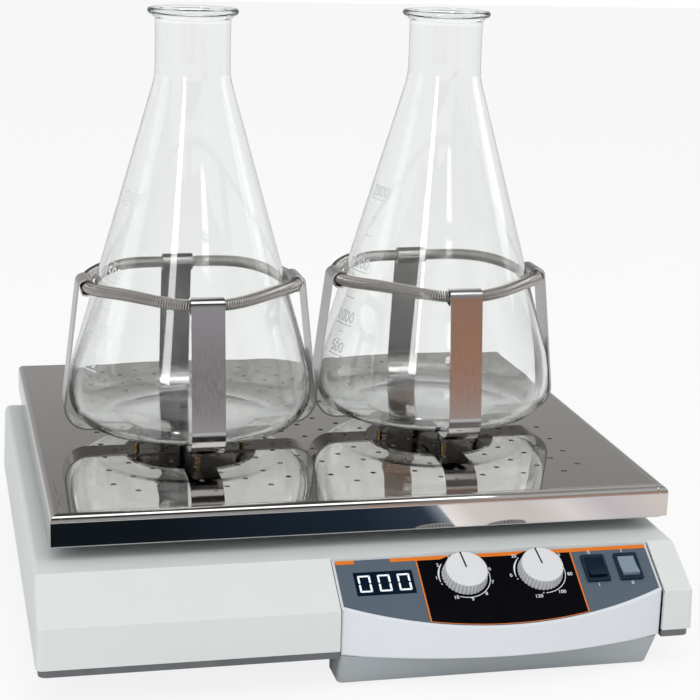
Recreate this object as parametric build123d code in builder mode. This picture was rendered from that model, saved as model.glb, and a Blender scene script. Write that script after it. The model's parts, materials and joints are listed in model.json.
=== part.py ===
"""Platform shaker with a perforated tray, two sprung flask clamps and two 2000 ml conical flasks.

Millimetres. +X is the operator's right, +Y points to the back, +Z is up, z = 0 is the bench.
The origin is the middle of the machine's footprint. The housing holds a belt drive: a motor turns
a central crank by a belt, and the crank's eccentric pin carries the platform in small circles.
Three idler cranks of the same throw keep the platform square to the housing.
"""
import os
from math import atan, cos, degrees, hypot, radians, sin, tan

from build123d import *

os.makedirs("parts", exist_ok=True)

# Overall levels above the bench
foot_height = 22.0
pan_depth = 5.0
face_height = 26.0
slope_drop = 21.0
slope_angle = 31.0
platform_gap = 10.0
tray_height = 20.0

# Housing
housing_width = 411.6
housing_back = 200.6
slope_top_y = -161.3
wall = 3.0
side_lean = 2.0
housing_edge_radius = 4.0
cover_gap = 0.3

# Base pan, cover posts, feet and screws
pan_inset = 1.5
pan_plate = 2.0
pan_corner_radius = 5.0
post_side_inset = 15.8
post_back_inset = 22.6
post_front_y = -120.0
post_radius = 6.0
post_bore_depth = 14.0
foot_side_inset = 55.8
foot_back_inset = 50.6
foot_front_y = -112.0
foot_radius = 12.0
foot_top_radius = 13.5
foot_recess = 12.0
foot_screw_tail = 2.0
screw_radius = 2.0
screw_play = 0.2
screw_head_radius = 3.8
screw_head_height = 2.6
cover_screw_grip = 12.0

# Mains inlet in the rear wall
inlet_x = -125.0
inlet_z = 48.0
inlet_size = (28.0, 21.0)
inlet_play = 0.4
inlet_flange = (36.0, 27.0)
inlet_depth = 24.0
flange_lip = 2.0
socket_size = (23.0, 15.5)
socket_depth = 17.0
blade_size = (2.0, 4.0)
blade_length = 11.0
blade_spread = 7.0
blade_offset = 2.0

# Rubber collars round the crank holes in the cover
collar_width = 6.0
collar_height = 3.0
collar_lip = 1.0

# Console in the housing's front right
console_left = -22.5
console_right = 184.5
console_gap = 0.9
console_bulge = 17.8
console_wall = 2.5
panel_recess = 1.5
console_drop = 4.0
console_back_gap = 0.4
overlay_thickness = 0.5
overlay_margin = 1.6
overlay_top_margin = 0.8
overlay_gap = 0.05
board_thickness = 1.6
board_margin = 14.0
board_depth = 26.0
pedestal_bottom = 2.0
pedestal_gap = 0.1
pedestal_back_gap = 1.0
pedestal_flare = 0.4
pedestal_taper_top = 2.0
pedestal_taper_foot = 5.0
pedestal_lean = 8.7
pedestal_corner_radius = 4.0
pedestal_edge_radius = 2.0

# Panel controls: places across the console's middle and down the slope
control_down = 19.0
window_across, window_down = -73.3, 20.5
window_size = (37.6, 18.0)
window_play = 0.2
window_thickness = 1.0
module_border = 2.5
speed_across, timer_across = -22.0, 27.3
timer_switch_across, power_switch_across = 64.1, 86.1
knob_radius = 14.5
knob_top_radius = 13.3
knob_height = 7.6
knob_flutes = 36
flute_radius = 0.75
flute_depth = 0.45
flute_stop = 1.0
knob_edge = 0.4
knob_gap = 0.4
knob_bore_depth = 6.0
spindle_radius = 3.0
spindle_foot = 1.0
bushing_radius = 4.4
bushing_play = 0.1
pot_radius = 8.5
pot_depth = 9.0
switch_bezel = (15.4, 20.6)
switch_body = (12.8, 17.8)
switch_play = 0.2
switch_tail = 3.0
switch_pocket = 5.0
rocker_size = (10.9, 14.6)
rocker_gap = 0.45
rocker_tilt = 8.0
rocker_rise = 2.4
rocker_dish = 0.8
rocker_skirt = 0.6
rocker_hub = (3.0, 2.6)
rocker_pin_radius = 1.0
bezel_height = 1.5

# Drive
drive_y = 26.0
throw = 10.0
rest_phase = 50.0
running_gap = 0.03
shaft_radius = 7.5
bearing_radius = 16.0
bearing_width = 9.0
bearing_lift = 1.0
block_height = 28.0
block_radius = 22.0
flange_radius = 38.0
flange_thickness = 4.0
block_screw_circle = 31.0
idler_screw_circle = 22.6
pulley_radius = 45.0
pulley_width = 9.0
pulley_lift = 2.0
pulley_rim = 6.0
pulley_flange = 0.8
pulley_flange_lip = 0.6
pulley_hole_radius = 9.0
pulley_hole_circle = 27.9
belt_width = 7.0
belt_thickness = 2.0
belt_gap = 0.3
crank_disc_radius = 20.0
crank_disc_thickness = 5.5
crank_disc_gap = 0.5
weight_radius = 42.0
weight_sweep = 130.0
weight_gap = 0.4
pin_radius = 6.0
pin_bearing_radius = 14.0
hole_clearance = 5.0
motor_place = (-122.0, 62.0)
motor_radius = 38.0
motor_height = 24.0
motor_pulley_radius = 15.0
motor_shaft_radius = 4.0
motor_gap = 0.5
motor_edge = 2.0
motor_end_wall = 2.0
motor_shaft_foot = 2.5
motor_shaft_top = 1.0
motor_screw_inset = 12.0
motor_screw_length = 6.0
bracket_thickness = 3.0
bracket_size = (96.0, 84.0)
bracket_corner_radius = 5.0
bracket_leg_radius = 4.0
bracket_leg_inset = 5.0
supply_place = (128.0, 96.0)
supply_size = (86.0, 58.0)
supply_height = 36.0
supply_corner_radius = 3.0
idler_places = [(-140.0, -84.0), (140.0, -84.0), (0.0, 156.0)]
idler_names = ["left", "right", "rear"]
idler_shaft_radius = 6.0
idler_pin_radius = 5.0
idler_bearing_radius = 14.0
idler_block_radius = 18.0
idler_flange_radius = 27.0
idler_arm_gap = 0.6
idler_arm_thickness = 6.0
idler_arm_wall = 5.0

# Platform and tray
tray_width = 398.5
tray_depth = 354.7
tray_sheet = 1.5
tray_bend = 4.5
carrier_lip = 1.3
carrier_plate_thickness = 4.0
carrier_rim = 3.0
carrier_fit = 0.4
carrier_corner_radius = 3.6
rib_thickness = 4.0
rib_drop = 8.0
carrier_window = 46.0
window_corner_radius = 6.0
window_cells = [(-2, -8), (2, -8), (-5, 5), (5, 5)]
tray_stud_inset = 22.0
stud_tail = 1.3
hole_pitch = 14.15
hole_radius = 1.9
hole_columns = 11
hole_rows = 10
hole_row_shift = 4.3
hole_stud_gap = 2.85
boss_wall = 4.0
boss_lip = 1.5
idler_seat_radius = 13.0
pin_top_gap = 1.5
bearing_top_gap = 1.0

# Flask clamps, measured from the tray's middle
clamp_places = [(-92.6, -22.9), (82.7, -13.7)]
side_names = ["left", "right"]
strap_width = 22.0
strap_thickness = 1.2
strap_level = 9.0
strap_corner = 88.5
strap_bend = 16.0
ring_radius = 71.7
ring_level = 108.0
spring_radius = 3.8
roll_inner = 4.7
roll_start = 7.0
roll_sweep = 290.0
disc_radius = 46.0
disc_thickness = 1.8
stud_circle = 37.0
stud_radius = 2.0
nut_across_flats = 7.0
nut_height = 3.2
washer_radius = 4.5
washer_thickness = 0.8

# Flasks
flask_seat_gap = 0.1
flask_height = 280.0
flask_radius = 83.0
flask_base_radius = 64.0
flask_wall = 2.5
neck_radius = 25.0
cone_top_radius = 26.6
cone_top_height = 229.6
rim_radius = 30.0
shoulder_radius = 80.2
shoulder_height = 44.0
belly_height = 22.0

# Levels and places worked out from the sizes above
pan_bottom = foot_height
pan_floor = pan_bottom + pan_plate
face_bottom = pan_bottom + pan_depth
slope_foot_z = face_bottom + face_height
housing_top = slope_foot_z + slope_drop
slope_depth = slope_drop / tan(radians(slope_angle))
slope_foot_y = slope_top_y - slope_depth
tray_bottom = housing_top + platform_gap
tray_top = tray_bottom + tray_height
carrier_top = tray_top - tray_sheet
carrier_bottom = tray_bottom - carrier_lip
phase = radians(rest_phase)
offset_x = throw * cos(phase)
offset_y = throw * sin(phase)
tray_x = offset_x
tray_y = drive_y + offset_y
drive_place = (0.0, drive_y)

console_x = (console_left + console_right) / 2
console_width = console_right - console_left
console_side_y = slope_foot_y + 3.0
console_front_y = console_side_y - console_bulge
console_bottom = face_bottom - console_drop
console_back = slope_top_y - console_back_gap
notch_left = console_left - console_gap
notch_right = console_right + console_gap
slope = radians(slope_angle)
panel_normal = (0, -sin(slope), cos(slope))
panel_origin = (
    console_x,
    slope_top_y + panel_recess * sin(slope),
    housing_top - panel_recess * cos(slope),
)
panel = Plane(origin=panel_origin, x_dir=(1, 0, 0), z_dir=panel_normal)

pulley_bottom = pan_floor + block_height + pulley_lift
pulley_top = pulley_bottom + pulley_width
disc_bottom = pulley_top + crank_disc_gap
disc_top = disc_bottom + crank_disc_thickness
belt_bottom = pulley_bottom + (pulley_width - belt_width) / 2
pin_top = carrier_top - carrier_plate_thickness - pin_top_gap
upper_bearing_top = pin_top - bearing_top_gap
upper_bearing_bottom = upper_bearing_top - bearing_width


def write(part, name):
    """Label a finished piece and write it as its own file."""
    part.label = name
    export_step(part, "parts/" + name + ".step")


def shifted(place, dx=offset_x, dy=offset_y):
    """A fixed axis moved by the throw at rest: where its eccentric pin stands."""
    return (place[0] + dx, place[1] + dy)


def ring(inner, outer, bottom, top, places):
    """Plain rings, one at each place."""
    with BuildPart() as rings:
        with BuildSketch(Plane.XY.offset(bottom)):
            with Locations(*places):
                Circle(outer)
                Circle(inner, mode=Mode.SUBTRACT)
        extrude(amount=top - bottom)
    return rings.part


# Base pan: a shallow steel floor whose rim shows as a thin strip under the cover
pan_front = slope_foot_y + pan_inset
pan_rear = housing_back - pan_inset
pan_length = pan_rear - pan_front
pan_middle = (pan_rear + pan_front) / 2
pan_width = housing_width - 2 * pan_inset
pan_rim_top = face_bottom - cover_gap
post_x = housing_width / 2 - post_side_inset
post_places = [(x, y) for x in (-post_x, post_x) for y in (post_front_y, housing_back - post_back_inset)]
foot_x = housing_width / 2 - foot_side_inset
foot_places = [(x, y) for x in (-foot_x, foot_x) for y in (foot_front_y, housing_back - foot_back_inset)]

with BuildPart() as base_pan:
    with BuildSketch(Plane.XY.offset(pan_bottom)):
        with Locations((0, pan_middle)):
            RectangleRounded(pan_width, pan_length, pan_corner_radius)
    extrude(amount=pan_rim_top - pan_bottom)
    with BuildSketch(Plane.XY.offset(pan_floor)):
        with Locations((0, pan_middle)):
            RectangleRounded(
                pan_width - 2 * pan_plate,
                pan_length - 2 * pan_plate,
                pan_corner_radius - pan_plate,
            )
    extrude(amount=pan_rim_top - pan_floor, mode=Mode.SUBTRACT)
    with BuildSketch(Plane.XY.offset(pan_bottom)):
        with Locations(*post_places, *foot_places):
            Circle(screw_radius + screw_play)
        with Locations(((notch_left + notch_right) / 2, slope_top_y - slope_depth)):
            Rectangle(notch_right - notch_left, 2 * slope_depth)
    extrude(amount=pan_rim_top - pan_bottom, mode=Mode.SUBTRACT)
write(base_pan.part, "base_pan")

# Housing cover: flat top, sloped front, upright face, with a notch for the console
profile_drop = 10.0


def cover_block(inset, bottom, radius):
    """The cover's form, drawn in by inset on every side and rounded on its outer edges."""
    half_width = housing_width / 2 - inset
    with BuildPart() as block:
        with BuildSketch(Plane.YZ.offset(-half_width)):
            with BuildLine():
                Polyline(
                    (housing_back - inset, bottom),
                    (housing_back - inset, housing_top - inset),
                    (slope_top_y + inset * tan(slope / 2), housing_top - inset),
                    (slope_foot_y + inset, slope_foot_z - inset * tan((radians(90) - slope) / 2)),
                    (slope_foot_y + inset, bottom),
                    close=True,
                )
            make_face()
        extrude(amount=2 * half_width)
        for side in (-1, 1):
            lean = radians(side_lean)
            edge_x = side * half_width
            outward = (side * cos(lean), 0, sin(lean))
            split(bisect_by=Plane(origin=(edge_x, 0, face_bottom), z_dir=outward), keep=Keep.BOTTOM)
        sides = block.faces().filter_by(lambda face: abs(face.normal_at().X) > 0.9)
        side_edges = [edge for face in sides for edge in face.edges()]
        rounded = [edge for edge in side_edges if edge.center().Z > bottom + 0.01]
        fillet(rounded, radius=radius)
    return block.part


cover_outer = cover_block(0.0, face_bottom, housing_edge_radius)
cover_inner = cover_block(wall, face_bottom - profile_drop, housing_edge_radius - wall + 0.5)
drive_hole = throw + pin_radius + hole_clearance
idler_hole = throw + idler_pin_radius + hole_clearance

with BuildPart() as housing_cover:
    add(cover_outer)
    add(cover_inner, mode=Mode.SUBTRACT)
    with BuildSketch(Plane.XY.offset(pan_floor)):
        with Locations(*post_places):
            Circle(post_radius)
    extrude(amount=housing_top - wall - pan_floor)
    with BuildSketch(Plane.XY.offset(pan_floor)):
        with Locations(*post_places):
            Circle(screw_radius)
    extrude(amount=post_bore_depth, mode=Mode.SUBTRACT)
    with BuildSketch(Plane.XY.offset(face_bottom)):
        with Locations(((notch_left + notch_right) / 2, slope_top_y - slope_depth)):
            Rectangle(notch_right - notch_left, 2 * slope_depth)
    extrude(amount=housing_top - face_bottom + 1, mode=Mode.SUBTRACT)
    with BuildSketch(Plane.XY.offset(housing_top - wall)):
        with Locations(drive_place):
            Circle(drive_hole)
        with Locations(*idler_places):
            Circle(idler_hole)
    extrude(amount=wall, mode=Mode.SUBTRACT)
    with BuildSketch(Plane.XZ.offset(-housing_back)):
        with Locations((inlet_x, inlet_z)):
            Rectangle(*inlet_size)
    extrude(amount=wall, mode=Mode.SUBTRACT)
write(housing_cover.part, "housing_cover")

with BuildPart() as splash_collars:
    with BuildSketch(Plane.XY.offset(housing_top)):
        with Locations(drive_place):
            Circle(drive_hole + collar_width)
            Circle(drive_hole - collar_lip, mode=Mode.SUBTRACT)
        with Locations(*idler_places):
            Circle(idler_hole + collar_width)
            Circle(idler_hole - collar_lip, mode=Mode.SUBTRACT)
    extrude(amount=collar_height)
write(splash_collars.part, "splash_collars")


# Console: a white moulding with a sloped panel and a bowed front, on a grey pedestal
def console_outline(inset, back_inset=0.0):
    """The console's plan, drawn in by inset and back_inset: straight back and sides, bowed front."""
    left, right = console_left + inset, console_right - inset
    back = console_back - back_inset
    with BuildSketch() as outline:
        with BuildLine():
            Line((left, back), (right, back))
            Line((right, back), (right, console_side_y + inset))
            ThreePointArc(
                (right, console_side_y + inset),
                (console_x, console_front_y + inset),
                (left, console_side_y + inset),
            )
            Line((left, console_side_y + inset), (left, back))
        make_face()
    return outline.sketch


cavity_plan = console_outline(console_wall)
panel_holes = [(speed_across, -control_down), (timer_across, -control_down)]
switch_places = [(timer_switch_across, -control_down), (power_switch_across, -control_down)]
window_place = (window_across, -window_down)


def panel_openings():
    """The openings that the panel and its printed overlay share."""
    with BuildSketch(panel) as openings:
        with Locations(*panel_holes):
            Circle(bushing_radius + bushing_play)
        with Locations(*switch_places):
            Rectangle(switch_body[0] + switch_play, switch_body[1] + switch_play)
        with Locations(window_place):
            Rectangle(*window_size)
    return openings.sketch


with BuildPart() as console_cavity:
    with BuildSketch(Plane.XY.offset(console_bottom)):
        add(cavity_plan)
        with Locations((console_x, console_back)):
            Rectangle(console_width - 2 * console_wall, 2.0)
    extrude(amount=housing_top - console_bottom)
    split(bisect_by=panel.offset(-console_wall), keep=Keep.BOTTOM)

with BuildPart() as console_shell:
    with BuildSketch(Plane.XY.offset(console_bottom)):
        add(console_outline(0.0))
    extrude(amount=housing_top - console_bottom)
    split(bisect_by=panel, keep=Keep.BOTTOM)
    upright = console_shell.edges().filter_by(Axis.Z).sort_by(Axis.Y)[:2]
    fillet(upright, radius=1.5)
    fillet(console_shell.faces().sort_by(Axis.Z)[0].edges().sort_by(Axis.Y)[:1], radius=1.0)
    add(console_cavity.part, mode=Mode.SUBTRACT)
    extrude(panel_openings(), amount=-console_wall, mode=Mode.SUBTRACT)
write(console_shell.part, "console_shell")

pedestal_top = console_bottom - pedestal_gap
pedestal_back = slope_top_y - pedestal_back_gap
pedestal_left = console_left - pedestal_flare
with BuildPart() as console_base:
    for level, left, right, front in (
        (pedestal_top, pedestal_left, console_right - pedestal_taper_top, slope_foot_y),
        (pedestal_bottom, pedestal_left, console_right - pedestal_taper_foot, slope_foot_y + pedestal_lean),
    ):
        with BuildSketch(Plane.XY.offset(level)):
            with Locations(((left + right) / 2, (front + pedestal_back) / 2)):
                RectangleRounded(right - left, pedestal_back - front, pedestal_corner_radius)
    loft()
    fillet(console_base.faces().sort_by(Axis.Z)[0].edges(), radius=pedestal_edge_radius)
write(console_base.part, "console_base")

with BuildPart() as overlay_column:
    with BuildSketch(Plane.XY.offset(console_bottom)):
        add(console_outline(overlay_margin, overlay_top_margin))
    extrude(amount=2 * housing_top)
with BuildPart() as front_overlay:
    add(overlay_column.part)
    split(bisect_by=panel.offset(overlay_gap), keep=Keep.TOP)
    split(bisect_by=panel.offset(overlay_gap + overlay_thickness), keep=Keep.BOTTOM)
    extrude(panel_openings(), amount=2.0, mode=Mode.SUBTRACT)
write(front_overlay.part, "front_overlay")

panel_face = overlay_gap + overlay_thickness
with BuildPart() as display_window:
    with BuildSketch(panel.offset(-window_thickness)):
        with Locations(window_place):
            Rectangle(window_size[0] - window_play, window_size[1] - window_play)
    extrude(amount=window_thickness + panel_face)
write(display_window.part, "display_window")

board_level = -(console_wall + pot_depth)
with BuildPart() as display_module:
    with BuildSketch(panel.offset(board_level)):
        with Locations(window_place):
            Rectangle(window_size[0] + 2 * module_border, window_size[1] + 2 * module_border)
    extrude(amount=pot_depth)
    with BuildSketch(panel.offset(-console_wall)):
        with Locations(window_place):
            Rectangle(window_size[0] - 2 * window_play, window_size[1] - 2 * window_play)
    extrude(amount=console_wall - window_thickness)
write(display_module.part, "display_module")

with BuildPart() as control_board:
    with BuildSketch(panel.offset(board_level - board_thickness)):
        with Locations((0, -control_down)):
            Rectangle(console_width - 2 * board_margin, board_depth)
        with Locations(*switch_places):
            Rectangle(
                switch_body[0] + 5 * switch_play,
                switch_body[1] + 5 * switch_play,
                mode=Mode.SUBTRACT,
            )
        with Locations(*panel_holes):
            Circle(spindle_radius + 5 * bushing_play, mode=Mode.SUBTRACT)
    extrude(amount=board_thickness)
write(control_board.part, "control_board")


def potentiometer(across):
    """A round control body behind the panel with its threaded bushing through it."""
    with BuildPart() as pot:
        with BuildSketch(panel.offset(board_level)):
            with Locations((across, -control_down)):
                Circle(pot_radius)
        extrude(amount=pot_depth)
        with BuildSketch(panel.offset(-console_wall)):
            with Locations((across, -control_down)):
                Circle(bushing_radius)
        extrude(amount=console_wall + panel_face)
        with BuildSketch(panel.offset(board_level)):
            with Locations((across, -control_down)):
                Circle(spindle_radius + running_gap)
        extrude(amount=pot_depth + console_wall + panel_face, mode=Mode.SUBTRACT)
    return pot.part


def spindle(across):
    """The control's spindle, which carries the knob."""
    with BuildPart() as rod:
        with BuildSketch(panel.offset(board_level + spindle_foot)):
            with Locations((across, -control_down)):
                Circle(spindle_radius)
        extrude(amount=panel_face + knob_gap + knob_bore_depth - board_level - spindle_foot)
    return rod.part


def knob(across):
    """A tapered round knob with a fluted skirt, a plain flat face and a blind bore for the spindle."""
    foot = panel.offset(panel_face + knob_gap)
    centre = (across, -control_down)
    taper = degrees(atan((knob_radius - knob_top_radius) / knob_height))
    flute_circle = knob_radius + flute_radius - flute_depth
    flute_length = hypot(knob_height, knob_radius - knob_top_radius) - flute_stop
    with BuildPart(foot) as body:
        with Locations(centre):
            Cone(knob_radius, knob_top_radius, knob_height, align=(Align.CENTER, Align.CENTER, Align.MIN))
        rim_edge = body.edges().filter_by(GeomType.CIRCLE).group_by(SortBy.RADIUS)[0]
        chamfer(rim_edge, length=knob_edge)
        with Locations(centre):
            with PolarLocations(flute_circle, knob_flutes):
                Cylinder(
                    flute_radius,
                    flute_length,
                    rotation=(0, -taper, 0),
                    align=(Align.CENTER, Align.CENTER, Align.MIN),
                    mode=Mode.SUBTRACT,
                )
        with BuildSketch(foot):
            with Locations(centre):
                Circle(spindle_radius)
        extrude(amount=knob_bore_depth, mode=Mode.SUBTRACT)
    return body.part


for label, across in (("speed", speed_across), ("timer", timer_across)):
    write(potentiometer(across), label + "_potentiometer")
    write(spindle(across), label + "_knob_spindle")
    write(knob(across), label + "_knob")


def rocker_pivot(across):
    """The axis of a rocker's pins: a plane at the pivot, facing along the console."""
    centre = panel.offset(panel_face).from_local_coords((across, -control_down, 0))
    return Plane(origin=centre, x_dir=panel.y_dir, z_dir=panel.x_dir)


def switch_housing(across):
    """A switch body with a raised bezel and an open pocket, with holes for its rocker's pins."""
    centre = (across, -control_down)
    pocket = (rocker_size[0] + 2 * rocker_gap, rocker_size[1] + 2 * rocker_gap)
    with BuildPart() as body:
        with BuildSketch(panel.offset(board_level - switch_tail)):
            with Locations(centre):
                Rectangle(*switch_body)
        extrude(amount=switch_tail - board_level + panel_face)
        with BuildSketch(panel.offset(panel_face)):
            with Locations(centre):
                RectangleRounded(*switch_bezel, 1.0)
        extrude(amount=bezel_height)
        with BuildSketch(panel.offset(-switch_pocket)):
            with Locations(centre):
                Rectangle(*pocket)
        extrude(amount=switch_pocket + panel_face + bezel_height, mode=Mode.SUBTRACT)
        with BuildSketch(rocker_pivot(across)):
            Circle(rocker_pin_radius + running_gap)
        extrude(amount=switch_body[0] / 2, both=True, mode=Mode.SUBTRACT)
    return body.part


def rocker(across):
    """A rocker key, tilted to its off position, with its hub below and a round pin at each side."""
    centre = rocker_pivot(across).origin
    pin_reach = switch_body[0] / 2 - rocker_gap / 5
    tilted = Plane(origin=centre, x_dir=panel.x_dir, z_dir=panel.z_dir).rotated((-rocker_tilt, 0, 0))
    side = Plane(origin=centre - panel.x_dir * (rocker_size[0] / 2), x_dir=tilted.y_dir, z_dir=panel.x_dir)
    half = rocker_size[1] / 2
    with BuildPart() as key:
        with BuildSketch(side):
            with BuildLine():
                Polyline(
                    (-half, rocker_rise),
                    (-half, -rocker_skirt),
                    (-rocker_hub[0], -rocker_hub[1]),
                    (rocker_hub[0], -rocker_hub[1]),
                    (half, -rocker_skirt),
                    (half, rocker_rise),
                )
                ThreePointArc((half, rocker_rise), (0, rocker_rise - rocker_dish), (-half, rocker_rise))
            make_face()
        extrude(amount=rocker_size[0])
        with BuildSketch(rocker_pivot(across)):
            Circle(rocker_pin_radius)
        extrude(amount=pin_reach, both=True)
    return key.part


for label, across in (("timer", timer_switch_across), ("power", power_switch_across)):
    write(switch_housing(across), label + "_switch_body")
    write(rocker(across), label + "_rocker")


# Drive: bearing blocks stand on the pan and carry the crank and the idlers
def around(place, radius, count, start):
    """Points on a circle about a place."""
    turn = 360.0 / count
    angles = [radians(start + turn * step) for step in range(count)]
    return [(place[0] + radius * cos(a), place[1] + radius * sin(a)) for a in angles]


def bearing_block(places, outer, seat, flange, screw_places):
    """Upright bearing holders on round flanges, one at each place."""
    with BuildPart() as block:
        with BuildSketch(Plane.XY.offset(pan_floor)):
            with Locations(*places):
                Circle(flange)
        extrude(amount=flange_thickness)
        with BuildSketch(Plane.XY.offset(pan_floor)):
            with Locations(*places):
                Circle(outer)
        extrude(amount=block_height)
        with BuildSketch(Plane.XY.offset(pan_floor)):
            with Locations(*places):
                Circle(seat)
        extrude(amount=block_height, mode=Mode.SUBTRACT)
        with BuildSketch(Plane.XY.offset(pan_floor)):
            with Locations(*screw_places):
                Circle(screw_radius + screw_play)
        extrude(amount=flange_thickness, mode=Mode.SUBTRACT)
    return block.part


drive_screws = around(drive_place, block_screw_circle, 4, 45.0)
idler_screws = [point for place in idler_places for point in around(place, idler_screw_circle, 3, 30.0)]
write(
    bearing_block([drive_place], block_radius, bearing_radius, flange_radius, drive_screws),
    "drive_bearing_block",
)
write(
    bearing_block(
        idler_places,
        idler_block_radius,
        idler_bearing_radius,
        idler_flange_radius,
        idler_screws,
    ),
    "idler_bearing_blocks",
)


def bearing_pair(inner, outer, places):
    """Two bearings in each block, one at its foot and one at its top."""
    foot_level = pan_floor + bearing_lift
    lower = ring(inner + running_gap, outer, foot_level, foot_level + bearing_width, places)
    top_level = pan_floor + block_height
    upper = ring(inner + running_gap, outer, top_level - bearing_width, top_level, places)
    return Compound(children=list(lower.solids()) + list(upper.solids()))


write(bearing_pair(shaft_radius, bearing_radius, [drive_place]), "drive_bearings")
write(bearing_pair(idler_shaft_radius, idler_bearing_radius, idler_places), "idler_bearings")


def screws(places, seat, shank_length, up=1):
    """Pan-head screws seated at one level, with the shank pointing away from the head."""
    with BuildPart() as group:
        with BuildSketch(Plane.XY.offset(seat)):
            with Locations(*places):
                Circle(screw_head_radius)
        extrude(amount=up * screw_head_height)
        with BuildSketch(Plane.XY.offset(seat)):
            with Locations(*places):
                Circle(screw_radius)
        extrude(amount=-up * shank_length)
    return group.part


# Crank: shaft, eccentric pin, pulley and counterweight
crank_pin = shifted(drive_place)
with BuildPart() as drive_crank:
    with BuildSketch(Plane.XY.offset(pan_floor + bearing_lift)):
        with Locations(drive_place):
            Circle(shaft_radius)
    extrude(amount=disc_bottom - pan_floor - bearing_lift)
    with BuildSketch(Plane.XY.offset(disc_bottom)):
        with Locations(drive_place):
            Circle(crank_disc_radius)
    extrude(amount=crank_disc_thickness)
    with BuildSketch(Plane.XY.offset(disc_top)):
        with Locations(crank_pin):
            Circle(pin_radius)
    extrude(amount=pin_top - disc_top)
write(drive_crank.part, "drive_crank")

with BuildPart() as crank_pulley:
    with BuildSketch(Plane.XY.offset(pulley_bottom)):
        with Locations(drive_place):
            Circle(pulley_radius)
            Circle(shaft_radius, mode=Mode.SUBTRACT)
            with PolarLocations(pulley_hole_circle, 6):
                Circle(pulley_hole_radius, mode=Mode.SUBTRACT)
    extrude(amount=pulley_width)
    for level in (pulley_bottom - pulley_flange, pulley_top):
        with BuildSketch(Plane.XY.offset(level)):
            with Locations(drive_place):
                Circle(pulley_radius + belt_thickness + pulley_flange_lip)
                Circle(pulley_radius - pulley_rim, mode=Mode.SUBTRACT)
        extrude(amount=pulley_flange)
write(crank_pulley.part, "crank_pulley")

weight_bottom = disc_bottom + weight_gap
weight_start = rest_phase + 180.0 - weight_sweep / 2
with BuildPart() as counterweight:
    with BuildSketch(Plane.XY.offset(weight_bottom)):
        with BuildLine():
            inner_arc = CenterArc(drive_place, crank_disc_radius, weight_start, weight_sweep)
            outer_arc = CenterArc(drive_place, weight_radius, weight_start, weight_sweep)
            Line(inner_arc @ 0, outer_arc @ 0)
            Line(inner_arc @ 1, outer_arc @ 1)
        make_face()
    extrude(amount=disc_top - weight_bottom)
write(counterweight.part, "counterweight")

# Idler cranks: the same throw, free at both ends
arm_bottom = pan_floor + block_height + idler_arm_gap
arm_top = arm_bottom + idler_arm_thickness
arm_radius = idler_shaft_radius + idler_arm_wall
for label, place in zip(idler_names, idler_places):
    pin_place = shifted(place)
    with BuildPart() as idler:
        with BuildSketch(Plane.XY.offset(pan_floor + bearing_lift)):
            with Locations(place):
                Circle(idler_shaft_radius)
        extrude(amount=arm_bottom - pan_floor - bearing_lift)
        with BuildSketch(Plane.XY.offset(arm_bottom)):
            with Locations(place, pin_place):
                Circle(arm_radius)
            make_hull()
        extrude(amount=idler_arm_thickness)
        with BuildSketch(Plane.XY.offset(arm_top)):
            with Locations(pin_place):
                Circle(idler_pin_radius)
        extrude(amount=pin_top - arm_top)
    write(idler.part, "idler_crank_" + label)

# Motor under its bracket, with the shaft and pulley on top
motor_bottom = pan_floor + motor_gap
motor_top = motor_bottom + motor_height
bracket_top = motor_top + bracket_thickness
motor_screw_places = around(motor_place, motor_radius - motor_screw_inset, 4, 45.0)
leg_x = bracket_size[0] / 2 - bracket_leg_inset
leg_y = bracket_size[1] / 2 - bracket_leg_inset
leg_places = [
    (motor_place[0] + dx, motor_place[1] + dy)
    for dx in (-leg_x, leg_x)
    for dy in (-leg_y, leg_y)
]
with BuildPart() as motor:
    with BuildSketch(Plane.XY.offset(motor_bottom)):
        with Locations(motor_place):
            Circle(motor_radius)
    extrude(amount=motor_height)
    chamfer(motor.edges().filter_by(GeomType.CIRCLE).group_by(Axis.Z)[0], length=motor_edge)
    with BuildSketch(Plane.XY.offset(motor_bottom + motor_end_wall)):
        with Locations(motor_place):
            Circle(motor_shaft_radius + running_gap)
    extrude(amount=motor_height, mode=Mode.SUBTRACT)
    with BuildSketch(Plane.XY.offset(motor_top)):
        with Locations(*motor_screw_places):
            Circle(screw_radius)
    extrude(amount=-motor_screw_length, mode=Mode.SUBTRACT)
write(motor.part, "motor")

with BuildPart() as motor_bracket:
    with BuildSketch(Plane.XY.offset(motor_top)):
        with Locations(motor_place):
            RectangleRounded(*bracket_size, bracket_corner_radius)
            Circle(2 * motor_shaft_radius, mode=Mode.SUBTRACT)
        with Locations(*motor_screw_places):
            Circle(screw_radius + screw_play, mode=Mode.SUBTRACT)
    extrude(amount=bracket_thickness)
    with BuildSketch(Plane.XY.offset(pan_floor)):
        with Locations(*leg_places):
            Circle(bracket_leg_radius)
    extrude(amount=motor_top - pan_floor)
write(motor_bracket.part, "motor_bracket")

with BuildPart() as motor_shaft:
    with BuildSketch(Plane.XY.offset(motor_bottom + motor_shaft_foot)):
        with Locations(motor_place):
            Circle(motor_shaft_radius)
    extrude(amount=pulley_top + motor_shaft_top - motor_bottom - motor_shaft_foot)
write(motor_shaft.part, "motor_shaft")

with BuildPart() as motor_pulley:
    with BuildSketch(Plane.XY.offset(pulley_bottom)):
        with Locations(motor_place):
            Circle(motor_pulley_radius)
            Circle(motor_shaft_radius, mode=Mode.SUBTRACT)
    extrude(amount=pulley_width)
    for level in (pulley_bottom - pulley_flange, pulley_top):
        with BuildSketch(Plane.XY.offset(level)):
            with Locations(motor_place):
                Circle(motor_pulley_radius + belt_thickness + pulley_flange_lip)
                Circle(motor_shaft_radius, mode=Mode.SUBTRACT)
        extrude(amount=pulley_flange)
write(motor_pulley.part, "motor_pulley")


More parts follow.
